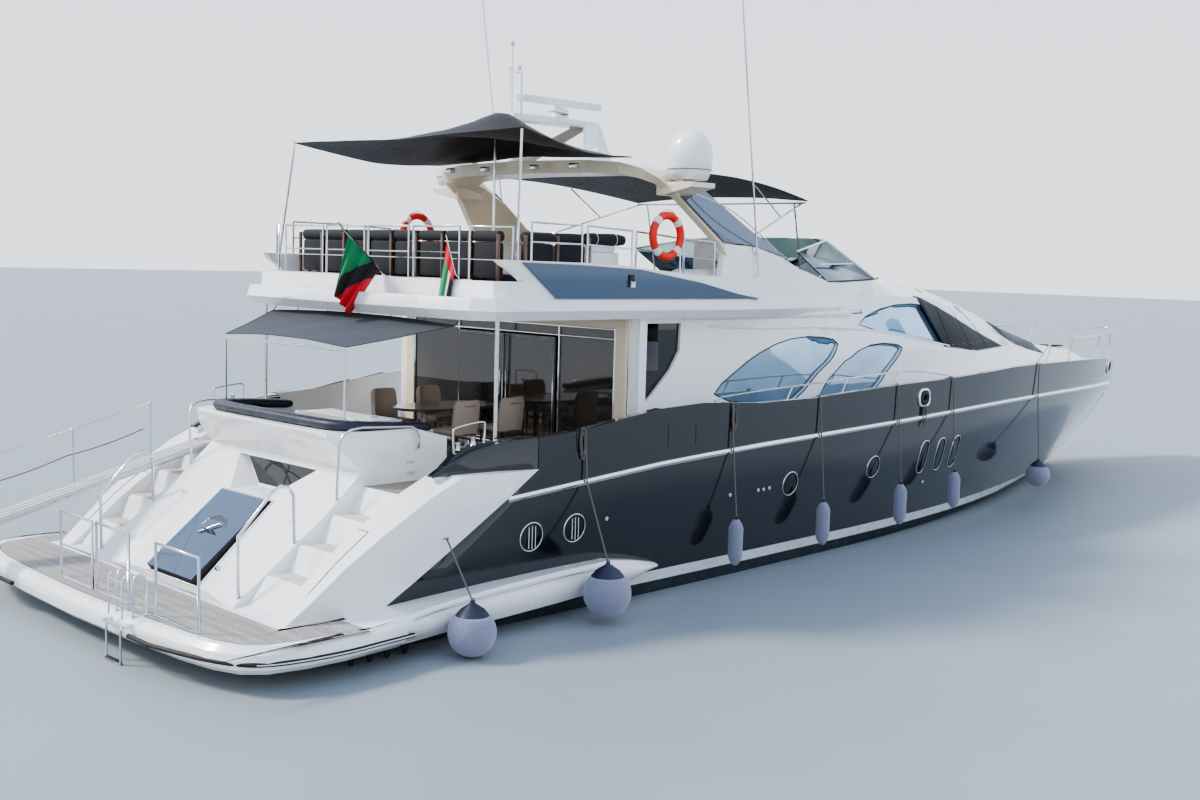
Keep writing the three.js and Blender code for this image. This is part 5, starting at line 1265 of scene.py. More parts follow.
def saloon():
    """What is seen through the glass: sofas, a table, cabinets and ceiling lamps."""
    sofas = Shape().pair((-6.6, 1.35, 2.2), (-3.9, 2.15, 2.55), 0.05).pair((-6.6, 1.95, 2.5),
                                                                           (-3.9, 2.2, 2.95), 0.05)
    padding(sofas.piece("saloon_sofas", "taupe", smooth=40))
    wood = Shape().block((-5.9, -0.35, 2.45), (-4.6, 0.35, 2.49), 0.01)
    wood.block((-5.4, -0.1, 2.2), (-5.1, 0.1, 2.46), 0.01).pair((-3.5, 1.5, 2.2), (-1.6, 2.1, 3.0), 0.02)
    wood.block((-1.55, -0.9, 2.2), (-1.45, 0.9, 3.9), 0.01).piece("saloon_joinery", "walnut", "taupe")
    spots = [((x, y, 4.075 if x > -7.4 else FLY_UNDER - 0.002), (0, 0, 0))
             for x in (-9.6, -8.6, -6.4, -5.0, -3.6)
             for y in (-1.4, 0, 1.4)]
    Shape().lathe([(0.0, -0.02), (0.05, -0.012), (0.055, 0.0)], (0, 0, 0), 16).repeat(
        "ceiling_lamps", spots, "lens", "gelcoat")


def foredeck():
    """Flush hatches, the sunpad, cleats, the windlass, the anchor and the bow rail with its wires."""
    hatches, cleats, rings = Shape(), Shape(), []
    for x in (11.2, 9.4):
        place, normal = from_above("foredeck_trunk", x, 0)
        hatches.around(place, (-0.3, -0.3, -0.02), (0.3, 0.3, 0.025), 0.02,
                       normal.to_track_quat("Z", "Y").to_matrix())
    hatches.piece("deck_hatches", "blackglass", "dark_glass")
    for x, thick in ((6.95, 0.05), (7.05, 0.1), (7.6, 0.1), (8.2, 0.1), (8.65, 0.1), (8.75, 0.05)):
        feet = [from_above("foredeck_trunk", x, 1.15 * (1 - k / 4))[0] for k in range(9)]
        top = [(p.x, p.y * 0.97, p.z + thick * (0.5 if k in (0, 8) else 1)) for k, p in enumerate(feet)]
        rings.append(top + [(p.x, p.y, p.z + 0.004) for p in reversed(feet)])
    padding(Shape().skin(rings).piece("foredeck_sunpad", "navy", smooth=50))
    for x, y in ((12.9, 0.55), (7.6, 2.2), (-3.2, 3.0)):
        for _, side in SIDES:
            cleat(cleats, from_above("hull", x, side * y, 2.9)[0], 0.32)
    cleats.piece("deck_cleats", "steel", smooth=40)
    dressed("windlass", "steel", 40, bevel=0.006)
    dressed("bow_rail", "steel", 50)
    swept("bow_rail_wires", bow_wires(), 0.005, "steel", sides=6)
    anchor = Shape().block((14.2, -0.03, 2.235), (14.72, 0.03, 2.29), 0.01)
    anchor.skin([[(14.62, -0.24, 2.0), (14.74, 0, 2.13), (14.62, 0.24, 2.0), (14.6, 0, 2.06)],
                 [(14.66, -0.03, 2.26), (14.76, 0, 2.3), (14.66, 0.03, 2.26), (14.6, 0, 2.27)]])
    anchor.piece("anchor", "steel")


def bow_wires():
    """Two wires between the stanchions of the bow rail, at two shares of its height."""
    columns = {}
    for vert in NODES["bow_rail"].data.vertices:
        columns.setdefault((vert.co.y > 0, round(vert.co.x / 0.5)), []).append(vert.co)
    wires = []
    for share in (0.36, 0.68):
        for port in (True, False):
            line = []
            for (on_port, _), group in sorted(columns.items()):
                low, high = min(group, key=lambda c: c.z), max(group, key=lambda c: c.z)
                if on_port == port and high.z - low.z > 0.35:
                    line.append(low.lerp(high, share))
            if len(line) > 2:
                wires.append(line)
    if not wires:
        raise RuntimeError("no stanchions found on the bow rail")
    return wires


# Flybridge

SCREEN_FOOT = [(-1.42, 2.01, 4.7), (0.72, 1.6, 4.755), (1.4, 1.0, 4.78), (1.74, 0, 4.785)]
SCREEN_HEAD = [(-2.4, 2.0, 5.24), (-1.0, 1.6, 5.47), (-0.32, 1.0, 5.515), (0.18, 0, 5.54)]
RING = (-7.0, 3.035, 5.375)
RING_RADIUS = 0.305
RAFT_PROFILE = [(0.0, -0.53), (0.12, -0.525), (0.17, -0.49), (0.186, -0.42), (0.186, -0.01), (0.194, -0.008),
                (0.194, 0.008), (0.186, 0.01), (0.186, 0.42), (0.17, 0.49), (0.12, 0.525), (0.0, 0.53)]
ROLL_PROFILE = [(0.0, -0.42), (0.07, -0.4), (0.09, -0.34), (0.084, -0.1), (0.09, 0.1), (0.084, 0.3),
                (0.07, 0.4),
                (0.0, 0.42)]


def finish_flybridge():
    """Teak deck, coaming with slate panels, windscreen, helm, seats, rafts, lifebuoys and rails."""
    # The deck's downward faces are cream: painted shade under the flybridge overhang.
    inlaid("fly_deck", "gelcoat", "teak", lambda c, n: n.z > 0.98 and c.z > FLY_TOP - 0.005, 0.36, 0.01, 28,
           rules=[("cream", lambda c, n: n.z < -0.9)])
    dressed("fly_coaming", "gelcoat", 28, bevel=0.01, flatten=False, rules=[
        ("steel", lambda c, n: c.z > 4.96 and 3.0 < abs(c.y) and c.x < -4.7)])
    lamps, lenses = Shape(), Shape()
    for name, side in SIDES:
        node = "fly_side_panel_" + name
        dressed(node, "slate", 40, bevel=0.006)
        place, _ = on_node(node, (-7.77, side * 5, 4.72), (0, -side, 0))
        lamps.around(place, (-0.05, -0.03, -0.07), (0.05, 0.05, 0.07), 0.012)
        lenses.around(place, (-0.035, side * 0.035, -0.11), (0.035, side * 0.05, -0.03), 0.01)
    lamps.piece("side_lamps", "rattan", "dark_glass")
    lenses.piece("side_lamp_lenses", "lens", "gelcoat")
    fly_windscreen()
    helm()
    fly_seats()
    rafts_and_rings()
    dressed("fly_rail", "steel", 50)


def fly_windscreen():
    """Curved clear panes between white posts, over slate lower panels."""
    dressed("fly_windscreen", "screen", 35, flatten=False, cuts=[((0, 0, 5.0), (0.1, 0, 1))],
            rules=[("slate", lambda c, n: c.z + 0.1 * c.x < 5.0)])
    foot, head = (list(map(Vector, half)) + mirrored(half[:-1])[::-1] for half in (SCREEN_FOOT, SCREEN_HEAD))
    swept("screen_rim", [smooth_line(head, 4)], 0.02, "gelcoat")
    swept("screen_posts", [[foot[i], head[i]] for i in (1, 2, 4, 5)], 0.024, "gelcoat")
    swept("screen_gasket", [smooth_line([point + UP * 0.01 for point in foot], 4)], 0.012, "rubber", "tint")
    swept("screen_lower_rail", both_sides([[(-1.7, 1.99, 5.02), (-0.15, 1.63, 5.05)]]), 0.014, "gelcoat")


def helm():
    """The console with its dials, the wheel, and two seats behind it."""
    dressed("helm_console", "gelcoat", 30, bevel=0.03, rules=[
        ("rattan", lambda c, n: n.x < -0.2 and c.z > 4.95 and n.z > 0.2)])
    centre = Vector((-1.83, -0.6, 4.98))
    rim = oval(centre, ACROSS, turned(-62, "Y") @ AHEAD, 0.2, 0.2)
    swept("helm_wheel_rim", [rim], 0.014, "rattan", "dark_glass", closed=True)
    spokes = [[centre, centre + (rim[i] - centre) * 0.98] for i in (0, 12, 24)]
    swept("helm_wheel_spokes", spokes + [[centre, centre + Vector((0.16, 0, 0.05))]], 0.01, "steel")
    displays = Shape()
    for y in (-1.2, -0.95, -0.3):
        displays.block((-1.6, y - 0.09, 5.02), (-1.4, y + 0.09, 5.1), 0.01, turned(-20, "Y"))
    displays.piece("helm_displays", "blackglass", "dark_glass")
    places = [((-2.75, y, FLY_TOP), (0, 0, 0)) for y in (-1.0, -0.35)]
    seats = Shape().block((-0.25, -0.26, 0.5), (0.22, 0.26, 0.62), 0.05)
    seats.block((-0.3, -0.25, 0.58), (-0.2, 0.25, 1.1), 0.045)
    seats.repeat("helm_seats", places, "gelcoat")
    Shape().lathe([(0.14, 0.002), (0.14, 0.02), (0.045, 0.04), (0.045, 0.52)], (0, 0, 0), 20).repeat(
        "helm_seat_stems", places, "steel")


def fly_seats():
    """The dark sofa of the flybridge, its cushions, rolled covers on the coaming and two loungers."""
    places = [((-9.25, -2.15 + 0.615 * i, 4.6), 0.0) for i in range(8)]
    places += [((x, 2.1, 4.6), 0.0) for x in (-8.55, -7.95, -7.4)]
    cushions = padding(pillows("fly_cushions", (-0.3, -0.3, 0), (0.3, 0.3, 0.13), 0.03, places, "canvas"))
    base = Shape().block((-9.84, -2.48, FLY_TOP), (-8.92, 2.48, 4.6), 0.03)
    base = base.block((-9.3, 1.72, FLY_TOP), (-7.1, 2.48, 4.6), 0.03).piece("fly_sofa_base", "gelcoat")
    for made in (cushions, base):
        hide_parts("fly_sofa")
    backs = Shape().block((-0.06, -0.285, 0), (0.05, 0.285, 0.5), 0.045)
    backs.lathe([(0.0, -0.29), (0.05, -0.285), (0.075, -0.26), (0.078, 0), (0.075, 0.26), (0.05, 0.285),
                 (0.0, 0.29)],
                (-0.01, 0, 0.58), 20, turned(90, "X"))
    places = [((-9.72, -2.15 + 0.615 * i, 4.7), (0, 0, 0)) for i in range(8)]
    places += [((x, side * 2.58, 4.7), (0, 0, -side * math.pi / 2)) for x in (-9.2, -8.58) for _,
               side in SIDES]
    padding(backs.repeat("fly_backs", places, "canvas"), "Y", "Z")
    places = [((-9.805, -2.45 + 0.615 * i, 4.45), (0, 0, 0)) for i in range(9)]
    places += [((x, side * 2.67, 4.45), (0, 0, math.pi / 2)) for x in (-9.5, -8.89, -8.27) for _,
               side in SIDES]
    Shape().block((-0.018, -0.026, 0), (0.018, 0.026, 0.86), 0.006).repeat("fly_seat_posts", places, "walnut",
                                                                           "taupe")
    rolls = Shape()
    for _, side in SIDES:
        rolls.lathe(ROLL_PROFILE, (-7.9, side * 2.6, 5.29), 24, turned(90, "Y"))
    padding(rolls.piece("rolled_covers", "canvas", smooth=50))
    cabinets = Shape().pair((-8.2, 2.3, FLY_TOP), (-7.62, 2.66, 5.1), 0.03)
    cabinets.pair((-8.16, 2.34, 5.1), (-7.66, 2.62, 5.21), 0.03).piece("fly_cabinets", "gelcoat")
    ties = [oval(Vector((x, side * 2.6, 5.29)), ACROSS, UP, 0.092, 0.092) for x in (-8.1, -7.7) for _,
            side in SIDES]
    swept("roll_ties", ties, 0.005, "band", "gelcoat", closed=True)
    lounge = Shape().block((-0.9, -0.32, 0.28), (0.35, 0.32, 0.36), 0.03)
    lounge.block((0.3, -0.32, 0.3), (0.95, 0.32, 0.38), 0.03, turned(-28, "Y"))
    places = [((-4.4, y, FLY_TOP), (0, 0, 0)) for y in (-0.8, 0.2)]
    padding(lounge.repeat("loungers", places, "canvas"))
    frames = [[(-4.4 + x, y + half, FLY_TOP + z) for x,
               z in ((-0.8, 0.01), (-0.78, 0.28), (0.4, 0.28), (0.42, 0.01))]
              for y in (-0.8, 0.2) for half in (-0.3, 0.3)]
    swept("lounger_frames", frames, 0.014, "steel")


def rafts_and_rings():
    """White raft canisters in their cradles, and lifebuoys with bands and grab lines."""
    for name, side in SIDES:
        raft = Vector((-5.83, side * 2.62, 4.7))
        shell = Shape().lathe(RAFT_PROFILE, raft, 36, turned(90, "Y")).piece("raft_shell_" + name, "gelcoat",
                                                                             smooth=35)
        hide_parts("raft_canister_" + name)
        cradle, straps = Shape(), []
        for x in (-6.15, -5.5):
            cradle.block((x - 0.03, side * 2.62 - 0.12, FLY_TOP), (x + 0.03, side * 2.62 + 0.12, 4.55), 0.01)
            straps.append(oval(Vector((x, *raft.yz)), ACROSS, UP, 0.19, 0.19))
        cradle.piece("raft_cradle_" + name, "steel")
        swept("raft_bands_" + name, straps, 0.009, "steel", closed=True)
        centre = Vector((RING[0], side * RING[1], RING[2]))
        ring = swept("lifebuoy_ring_" + name, [oval(centre, AHEAD, UP, RING_RADIUS, RING_RADIUS, steps=56)],
                     0.06,
                     "buoy", sides=20, closed=True)
        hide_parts("lifebuoy_" + name)
        bands = [[ring_point(centre, math.radians(middle) + 0.09 * k, RING_RADIUS) for k in range(-2, 3)]
                 for middle in (45, 135, 225, 315)]
        swept("lifebuoy_bands_" + name, bands, 0.0625, "band", "gelcoat", sides=20)
        turns = [math.tau * k / 64 for k in range(64)]
        rope = [ring_point(centre, angle, 0.372 + 0.016 * math.cos(4 * angle)) for angle in turns]
        swept("lifebuoy_line_" + name, [rope], 0.006, "rope", "gelcoat", closed=True)


def ring_point(centre, angle, reach):
    """A point round a centre, seen from the side."""
    return centre + (AHEAD * math.cos(angle) + UP * math.sin(angle)) * reach


# Arch and mast


def finish_arch():
    """Arch coloured cream as painted warm sunlight on white moulding, with slate fins, the mast with its
    lights, the scanner and two domes.
    """
    # The arch's cream is painted warm sunlight on white moulding.
    dressed("radar_arch", "cream", 30, bevel=sizes().round_edge, flatten=False)
    for name, side in SIDES:
        dressed("arch_blade_" + name, "slate", 30, bevel=0.008, flatten=False)
        dressed("satellite_dome_" + name, "gelcoat", 80, flatten=False)
        seam = oval(Vector((-6.31, side * 2.83, 6.4)), AHEAD, ACROSS, 0.343, 0.343, steps=48)
        swept("dome_seam_" + name, [seam], 0.005, "rubber", "gelcoat", closed=True)
        rail = [(-6.2, side * 2.66, 6.1), (-5.4, side * 2.86, 5.86), (-4.7, side * 2.93, 5.5),
                (-4.2, side * 2.93, 5.22)]
        swept("blade_rail_" + name, [smooth_line(rail, 4)], sizes().rail_tube, "steel")
    dressed("mast", "gelcoat", 40, bevel=0.006, flatten=False)
    dressed("radar_scanner", "gelcoat", 40, bevel=0.02, flatten=False)
    domes, lamps, floods, horns = Shape(), Shape(), Shape(), Shape()
    domes.lathe([(0.0, 0), (0.17, 0.004), (0.18, 0.05), (0.14, 0.09), (0.0, 0.1)], (-6.95, 1.5, 6.62), 28)
    domes.lathe([(0.05, -0.09), (0.05, 0), (0.0, 0.01)], (-6.95, 1.5, 6.62), 16)
    domes.lathe([(0.0, 0), (0.09, 0.004), (0.1, 0.06), (0.07, 0.12), (0.0, 0.13)], (-6.95, -1.5, 6.6), 28)
    domes.piece("small_domes", "gelcoat", smooth=40)
    for place in ((-7.47, 0, 8.36), (-7.4, -0.1, 7.98), (-7.4, 0.1, 7.98)):
        lamps.lathe([(0.028, 0), (0.034, 0.01), (0.034, 0.06), (0.02, 0.075), (0.0, 0.08)], place, 18)
    lamps.piece("mast_lamps", "lens", "gelcoat", smooth=40)
    for y in (0.6, 1.5):
        floods.pair((-7.55, y - 0.06, 6.38), (-7.43, y + 0.06, 6.46), 0.015)
    floods.piece("arch_floodlights", "steel")
    for y in (-0.28, -0.2):
        horns.lathe([(0.008, -0.2), (0.012, 0), (0.05, 0.14), (0.044, 0.14), (0.0, 0.03)], (-6.65, y, 7.38),
                    18,
                    turned(90, "Y"))
    horns.piece("horns", "chrome", smooth=40)


# Awnings and flags

CLOTH_STEPS = 4
# Columns: height, waves across and waves along of the folds that tension leaves
RIPPLES = ((1.0, 3, 1.2), (0.6, 7, -3.3), (0.35, 2, 9))
# Columns: x, middle z, edge z and half width
FLY_AWNING = [(-9.72, 6.7, 6.76, 2.79), (-9.2, 6.83, 6.672, 2.71), (-8.7, 6.97, 6.59, 2.62),
              (-8.2, 7.13, 6.53, 2.55),
              (-7.69, 7.31, 6.53, 2.48), (-7.38, 6.98, 6.545, 2.42), (-7.08, 6.645, 6.56, 2.34)]
# Columns: x, half width and z
COCKPIT_AWNING = [(-11.69, 1.56, 3.74), (-11.0, 1.95, 3.9), (-10.42, 2.3, 4.05)]
BIMINI = [(-5.56, 2.28, 6.43), (-4.5, 2.3, 6.4), (-3.4, 2.23, 6.3), (-2.25, 2.08, 6.14)]
# Corners: hoist low, hoist high, fly high and fly low
ENSIGN = [(-10.38, -0.49, 4.78), (-10.88, -0.43, 5.27), (-11.03, -0.28, 4.42), (-10.8, -0.34, 4.1)]
COURTESY = [(-10.36, -2.2, 4.78), (-10.38, -2.04, 5.22), (-10.36, -1.82, 4.34), (-10.37, -2.06, 4.26)]


def cloth_mesh(name, points, metres, finishes, thickness, tone=lambda u, v: 0, upward=False):
    """Cloth through rows of points with their places in metres; tone is the number of a face's finish."""
    bm = bmesh.new()
    uv = bm.loops.layers.uv.new("UVMap")
    rows = [[bm.verts.new(point) for point in row] for row in points]
    place_of = {vert: place for row, places in zip(rows, metres) for vert, place in zip(row, places)}
    for i, (low, high) in enumerate(zip(rows, rows[1:])):
        for k in range(len(low) - 1):
            face = bm.faces.new((low[k], low[k + 1], high[k + 1], high[k]))
            face.material_index = tone((k + 0.5) / (len(low) - 1), (i + 0.5) / (len(rows) - 1))
    bm.normal_update()
    if upward and sum(face.normal.z for face in bm.faces) < 0:
        bmesh.ops.reverse_faces(bm, faces=bm.faces)
    for face in bm.faces:
        for loop in face.loops:
            loop[uv].uv = place_of[loop.vert]
    obj = new_object(name, mesh_of(name, bm), finishes)
    thick = obj.modifiers.new("thickness", "SOLIDIFY")
    thick.thickness, thick.material_offset = thickness, 1 if upward else 0
    bake_modifiers(obj)
    return obj


def awning_cloth(name, node, rows, finish, under, sag, folds):
    """Stretched cloth through rows of points, with sag between its fixings, fine tension folds and hems."""
    fine_rows = [smooth_line(row, CLOTH_STEPS) for row in rows]
    lines = [smooth_line(column, CLOTH_STEPS) for column in zip(*fine_rows)]
    rng = random.Random(7)
    phases = [rng.uniform(0, math.tau) for _ in RIPPLES]
    points = []
    for j, line in enumerate(lines):
        u = j / (len(lines) - 1)
        points.append([])
        for i, point in enumerate(line):
            v = i / (len(line) - 1)
            inside = min(1.0, 5 * u * (1 - u)) * min(1.0, 5 * v * (1 - v))
            ripple = sum(height * math.sin(math.tau * (across * u + along * v) + phase)
                         for (height, across, along), phase in zip(RIPPLES, phases))
            drop = 0.4 * sag * math.sin(math.pi * u) * math.sin(math.pi * v) + 0.004
            points[-1].append(point + UP * (folds * ripple * (0.25 + inside) - drop))
    metres = [[(point.y, point.x) for point in line] for line in lines]
    obj = cloth_mesh(name, points, metres, (finish, under), 0.006, upward=True)
    soften(obj.data, 60)
    settle(obj, finish)
    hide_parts(node)
    middle = len(rows[0]) // 2
    deep = sum((b[middle] - a[middle]).length for a, b in zip(rows, rows[1:]))
    edge = points[0] + [line[-1] for line in points[1:]] + points[-1][-2::-1] + [line[0]
                                                                                 for line in points[-2:0:-1]]
    hem = swept(name + "_hem", [edge], 0.008, finish, sides=6, closed=True)


def finish_awnings():
    """The peaked awning, the bimini and the cockpit awning, with their frames and lacing."""
    peaked = [[Vector((x, s * half, edge + (middle - edge) * (1 - abs(s)) ** 1.3))
               for s in (-1, -0.66, -0.33, 0, 0.33, 0.66, 1)] for x, middle, edge, half in FLY_AWNING]
    bimini, cockpit = ([[Vector((x, s * half, z + rise * (1 - s * s))) for s in (-1, -0.5, 0, 0.5, 1)]
                        for x, half, z in table] for table, rise in ((BIMINI, 0.09), (COCKPIT_AWNING, 0.06)))
    for name, node, rows, finish, under, sag, folds, rests_on in (
            ("peaked_awning", "fly_awning", peaked, "canvas", "rattan", 0.05, 0.006,
             ("fly_rail", "awning_centre_pole")),
            ("bimini_cloth", "bimini", bimini, "canvas", "rattan", 0.03, 0.005,
             ("bimini_frame", "radar_arch")),
            ("cockpit_awning_cloth", "cockpit_awning", cockpit, "awning", "awning", 0.05, 0.008,
             ("cockpit_awning_hoop",))):
        awning_cloth(name, node, rows, finish, under, sag, folds)
    for node in ("cockpit_awning_hoop", "bimini_frame", "awning_centre_pole"):
        dressed(node, "steel", 50)
    lacing = both_sides([[(-9.72, 2.79, 6.755), (-9.735, 2.8, 6.8)],
                         [(-10.42, 2.28, 4.05), (-10.3, 2.33, 4.16)]])
    lacing += [[(-10.42, y, 4.08), (-10.36, y, 4.15)] for y in (-1.6, -0.8, 0, 0.8, 1.6)]
    swept("awning_lacing", lacing, 0.007, "rope", "gelcoat")


def bunting(name, corners, folds, depth, tone):
    """A hanging flag between its corners, with its folds."""
    hoist_low, hoist_high, fly_high, fly_low = map(Vector, corners)
    points = []
    for i in range(37):
        v = i / 36
        high, low = hoist_high.lerp(fly_high, v), hoist_low.lerp(fly_low, v)
        waves = [depth * math.sin(math.tau * (folds * k / 40 + 0.25 * v)) * (0.5 + 0.5 * v)
                 for k in range(41)]
        points.append([high.lerp(low, k / 40) + Vector((wave, wave * 0.7, 0)) for k,
                       wave in enumerate(waves)])
    metres = [[(k * 0.016, i * 0.03) for k in range(41)] for i in range(37)]
    obj = cloth_mesh(name, points, metres, ("flag", "flagred", "flagblack", "flagwhite"), 0.003, tone)
    soften(obj.data)
    return settle(obj, "flag")


def ensign_tone(u, v):
    """Green and red halves with a black band between them."""
    across = u + v - 1
    return 2 if abs(across) < 0.2 else 1 if across > 0 else 0


def courtesy_tone(u, v):
    """A red hoist, and green, white and black stripes."""
    return 1 if v < 0.27 else 0 if u < 0.5 else 3 if u < 0.7 else 2


def finish_flags():
    """The ensign on its staff and the small flag on its stick."""
    dressed("ensign_staff", "steel", 50)
    ensign = bunting("ensign_cloth", ENSIGN, 3, 0.05, ensign_tone)
    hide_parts("ensign")
    stick = swept("flag_stick", [[(-10.38, -2.02, 5.27), (-10.36, -2.21, 4.75), (-10.27, -2.26, 4.62)]],
                  0.008, "steel")
    small = bunting("courtesy_flag", COURTESY, 2, 0.02, courtesy_tone)
    swept("ensign_cord", [[ENSIGN[1], (-11.0, -0.41, 5.37)], [ENSIGN[0], (-10.34, -0.53, 4.71)]], 0.004,
          "rope", "flag")


# Fenders, gangway and running gear

# Columns: x, y, z, radius and half length of the fender's straight part, 0 for a ball
FENDERS = ((-11.46, -4.02, 0.32, 0.31, 0.0), (-9.0, -3.96, 0.43, 0.335, 0.0),
           (-5.85, -3.64, 0.69, 0.115, 0.3),
           (-3.56, -3.64, 0.72, 0.115, 0.3), (-1.2, -3.62, 0.79, 0.115, 0.3),
           (0.73, -3.56, 0.85, 0.115, 0.28),
           (4.62, -3.26, 0.74, 0.25, 0.0))
HULL_AFT_X = -9.9
LINE_EYE = (-11.36, 1.39)
HANKS = ((-9.06, 2.75), (-5.8, 2.93), (-0.3, 2.62))


def strake_height(x):
    """Height of the starboard rub strake's middle at x."""
    hits = [z for z in (1.2 + 0.01 * k for k in range(150)) if from_side("rub_strake", x, z, -1, 6)[0]]
    if not hits:
        raise RuntimeError(f"no rub strake at {x}")
    return (hits[0] + hits[-1]) / 2


def bulwark_edge(x):
    """Outer edge and top of the starboard bulwark."""
    for k in range(60):
        place, normal = from_above("hull", x, -3.6 + 0.012 * k)
        if place and normal.z > 0.7 and place.z > 2.4:
            return place.y, place.z
    raise RuntimeError(f"no bulwark at {x}")


def finish_fenders():
    """Knitted covers on ball and long fenders, dark cones, taut lines over the bulwark, and coiled lines."""
    covers, cones, lines, eyes = Shape(), Shape(), [], []
    for x, y, z, radius, half in FENDERS:
        if half:
            profile = [(0.0, -half - radius * 0.6), (radius * 0.35, -half - radius * 0.55),
                       (radius * 0.8, -half * 0.95),
                       (radius, -half * 0.72), (radius * 0.98, 0), (radius, half * 0.72),
                       (radius * 0.8, half * 0.95),
                       (radius * 0.35, half + radius * 0.5)]
            crown, top = half + radius * 0.45, half + radius * 0.62
        else:
            profile = [(radius * math.sin(math.radians(a)), -radius * math.cos(math.radians(a)))
                       for a in range(0, 136, 9)]
            crown, top = radius * 0.7, radius * 1.2
        covers.lathe(profile, (x, y, z), 36)
        width = profile[-1][0]
        cones.lathe([(width * 1.02, crown - 0.01), (width * 0.7, (crown + top) / 2), (0.035, top),
                     (0.03, top + 0.03),
                     (0.0, top + 0.035)], (x, y, z), 28)
        foot = Vector((x, y, z + top + 0.02))
        if x < HULL_AFT_X:
            place, normal = on_node("stern_moulding", (LINE_EYE[0], -6, LINE_EYE[1]), ACROSS)
            lines.append([place + normal * 0.02, foot])
            eyes.append(oval(place + normal * 0.01, AHEAD, normal, 0.03, 0.03))
        else:
            rim_y, rim_z = bulwark_edge(x)
            over = [(x, rim_y + 0.05, rim_z + 0.016), (x, rim_y - 0.005, rim_z + 0.018),
                    (x, rim_y - 0.03, rim_z - 0.04)]
            strake, _ = on_node("rub_strake", (x, -6, strake_height(x)), ACROSS)
            lines.append([*smooth_line(over, 3), strake - ACROSS * 0.016, foot])
        eyes.append(oval(Vector((x, y, z + top + 0.03)), AHEAD, UP, 0.028, 0.03))
    for made in (covers.piece("fender_covers", "fender", smooth=70),
                 cones.piece("fender_cones", "fendercone", "navy", smooth=50),
                 swept("fender_lines", lines, 0.012, "rope", "fender")):
        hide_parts("fenders")
    swept("fender_eyes", eyes, 0.008, "rope", "fender", closed=True)
    rng = random.Random(5)
    loops = []
    for x, top in HANKS:
        for _ in range(5):
            place, normal = hull_side(x + rng.uniform(-0.02, 0.02), top - 0.3, -1)
            half = rng.uniform(0.03, 0.07)
            centre = place + normal * rng.uniform(0.02, 0.04) + UP * rng.uniform(-0.05, 0.05)
            loops.append(oval(centre, AHEAD, UP, half, rng.uniform(0.15, 0.2), 2.4, 24))
    swept("rope_hanks", loops, 0.006, "rope", "gelcoat", closed=True)


GANGWAY_ROOT = Vector((-11.58, 0, 2.01))
GANGWAY_SLOPE = math.atan(0.265)
GANGWAY_DOWN = Vector((-math.cos(GANGWAY_SLOPE), 0, -math.sin(GANGWAY_SLOPE)))
GANGWAY_OUT = Vector((-math.sin(GANGWAY_SLOPE), 0, math.cos(GANGWAY_SLOPE)))


def on_gangway(along, out, y):
    """A place along the gangway, out from its floor."""
    return GANGWAY_ROOT + GANGWAY_DOWN * along + GANGWAY_OUT * out + ACROSS * y


def finish_gangway():
    """Aluminium stringers, grey slats, a rope rail and wheels of the gangway."""
    body = "passerelle"
    dressed(body, "aluminium", 40, flatten=False)
    places = [(on_gangway(0.12 + 0.06 * i, 0.03, 2.37), (0, -GANGWAY_SLOPE, 0)) for i in range(61)]
    Shape().block((-0.022, -0.2, 0), (0.022, 0.2, 0.012), 0.003).repeat(
        "gangway_slats", places, "nonskid", "aluminium", body)
    rail = [on_gangway(start + 1.25 * k / 8, 0.45 - 0.03 * math.sin(math.pi * k / 8), 2.615)
            for start in (0.81, 2.06) for k in range(9)]
    swept("gangway_ropes", [rail], 0.009, "rope", "gelcoat", body)
    wheels = Shape()
    for y in (2.17, 2.57):
        wheels.lathe([(0.0, -0.02), (0.04, -0.02), (0.05, -0.01), (0.05, 0.01), (0.04, 0.02), (0.0, 0.02)],
                     on_gangway(3.7, 0, y) - UP * 0.045, 24, turned(90, "X"))
    wheels.piece("gangway_wheels", "rubber", "aluminium", body, smooth=40)


def finish_running_gear():
    """Bronze propellers and painted rudders."""
    for name, _ in SIDES:
        dressed("propeller_" + name, "bronze", 40, flatten=False)
        dressed("rudder_" + name, "bottom", 40, bevel=0.006, flatten=False)


# Stage and camera

CAMERA_PLACE = Vector((-22.32, -16.95, 5.01))
CAMERA_HEADING = math.radians(44.82)
CAMERA_DIP = math.radians(5.86)
CAMERA_ROLL = math.radians(1.62)
CAMERA_LENS = 41.27
SENSOR_WIDTH = 36.0


def aim_camera():
    """The photograph's own view, from behind the starboard quarter."""
    level = Vector((math.cos(CAMERA_HEADING), math.sin(CAMERA_HEADING), 0))
    right = Vector((math.sin(CAMERA_HEADING), -math.cos(CAMERA_HEADING), 0))
    forward = level * math.cos(CAMERA_DIP) - UP * math.sin(CAMERA_DIP)
    up = level * math.sin(CAMERA_DIP) + UP * math.cos(CAMERA_DIP)
    rolled_right = right * math.cos(CAMERA_ROLL) + up * math.sin(CAMERA_ROLL)
    rolled_up = up * math.cos(CAMERA_ROLL) - right * math.sin(CAMERA_ROLL)
    camera = bpy.data.cameras.new("photo_camera")
    camera.lens, camera.sensor_width, camera.sensor_fit = CAMERA_LENS, SENSOR_WIDTH, "HORIZONTAL"
    camera.clip_end = 1000
    obj = bpy.data.objects.new("photo_camera", camera)
    bpy.context.scene.collection.objects.link(obj)
    turn = Matrix((rolled_right, rolled_up, -forward)).transposed()
    obj.matrix_world = Matrix.Translation(CAMERA_PLACE) @ turn.to_4x4()
    bpy.context.scene.camera = obj


def soft_light(name, kind, place, target, energy, size, tone):
    """A lamp that looks at its target."""
    lamp = bpy.data.lights.new(name, kind)
    lamp.energy, lamp.color = energy, tone
    if kind == "SUN":
        lamp.angle = size
    else:
        lamp.shape, lamp.size = "DISK", size
    obj = bpy.data.objects.new(name, lamp)
    bpy.context.scene.collection.objects.link(obj)
    obj.location = place
    obj.rotation_euler = (Vector(target) - Vector(place)).to_track_quat("-Z", "Y").to_euler()


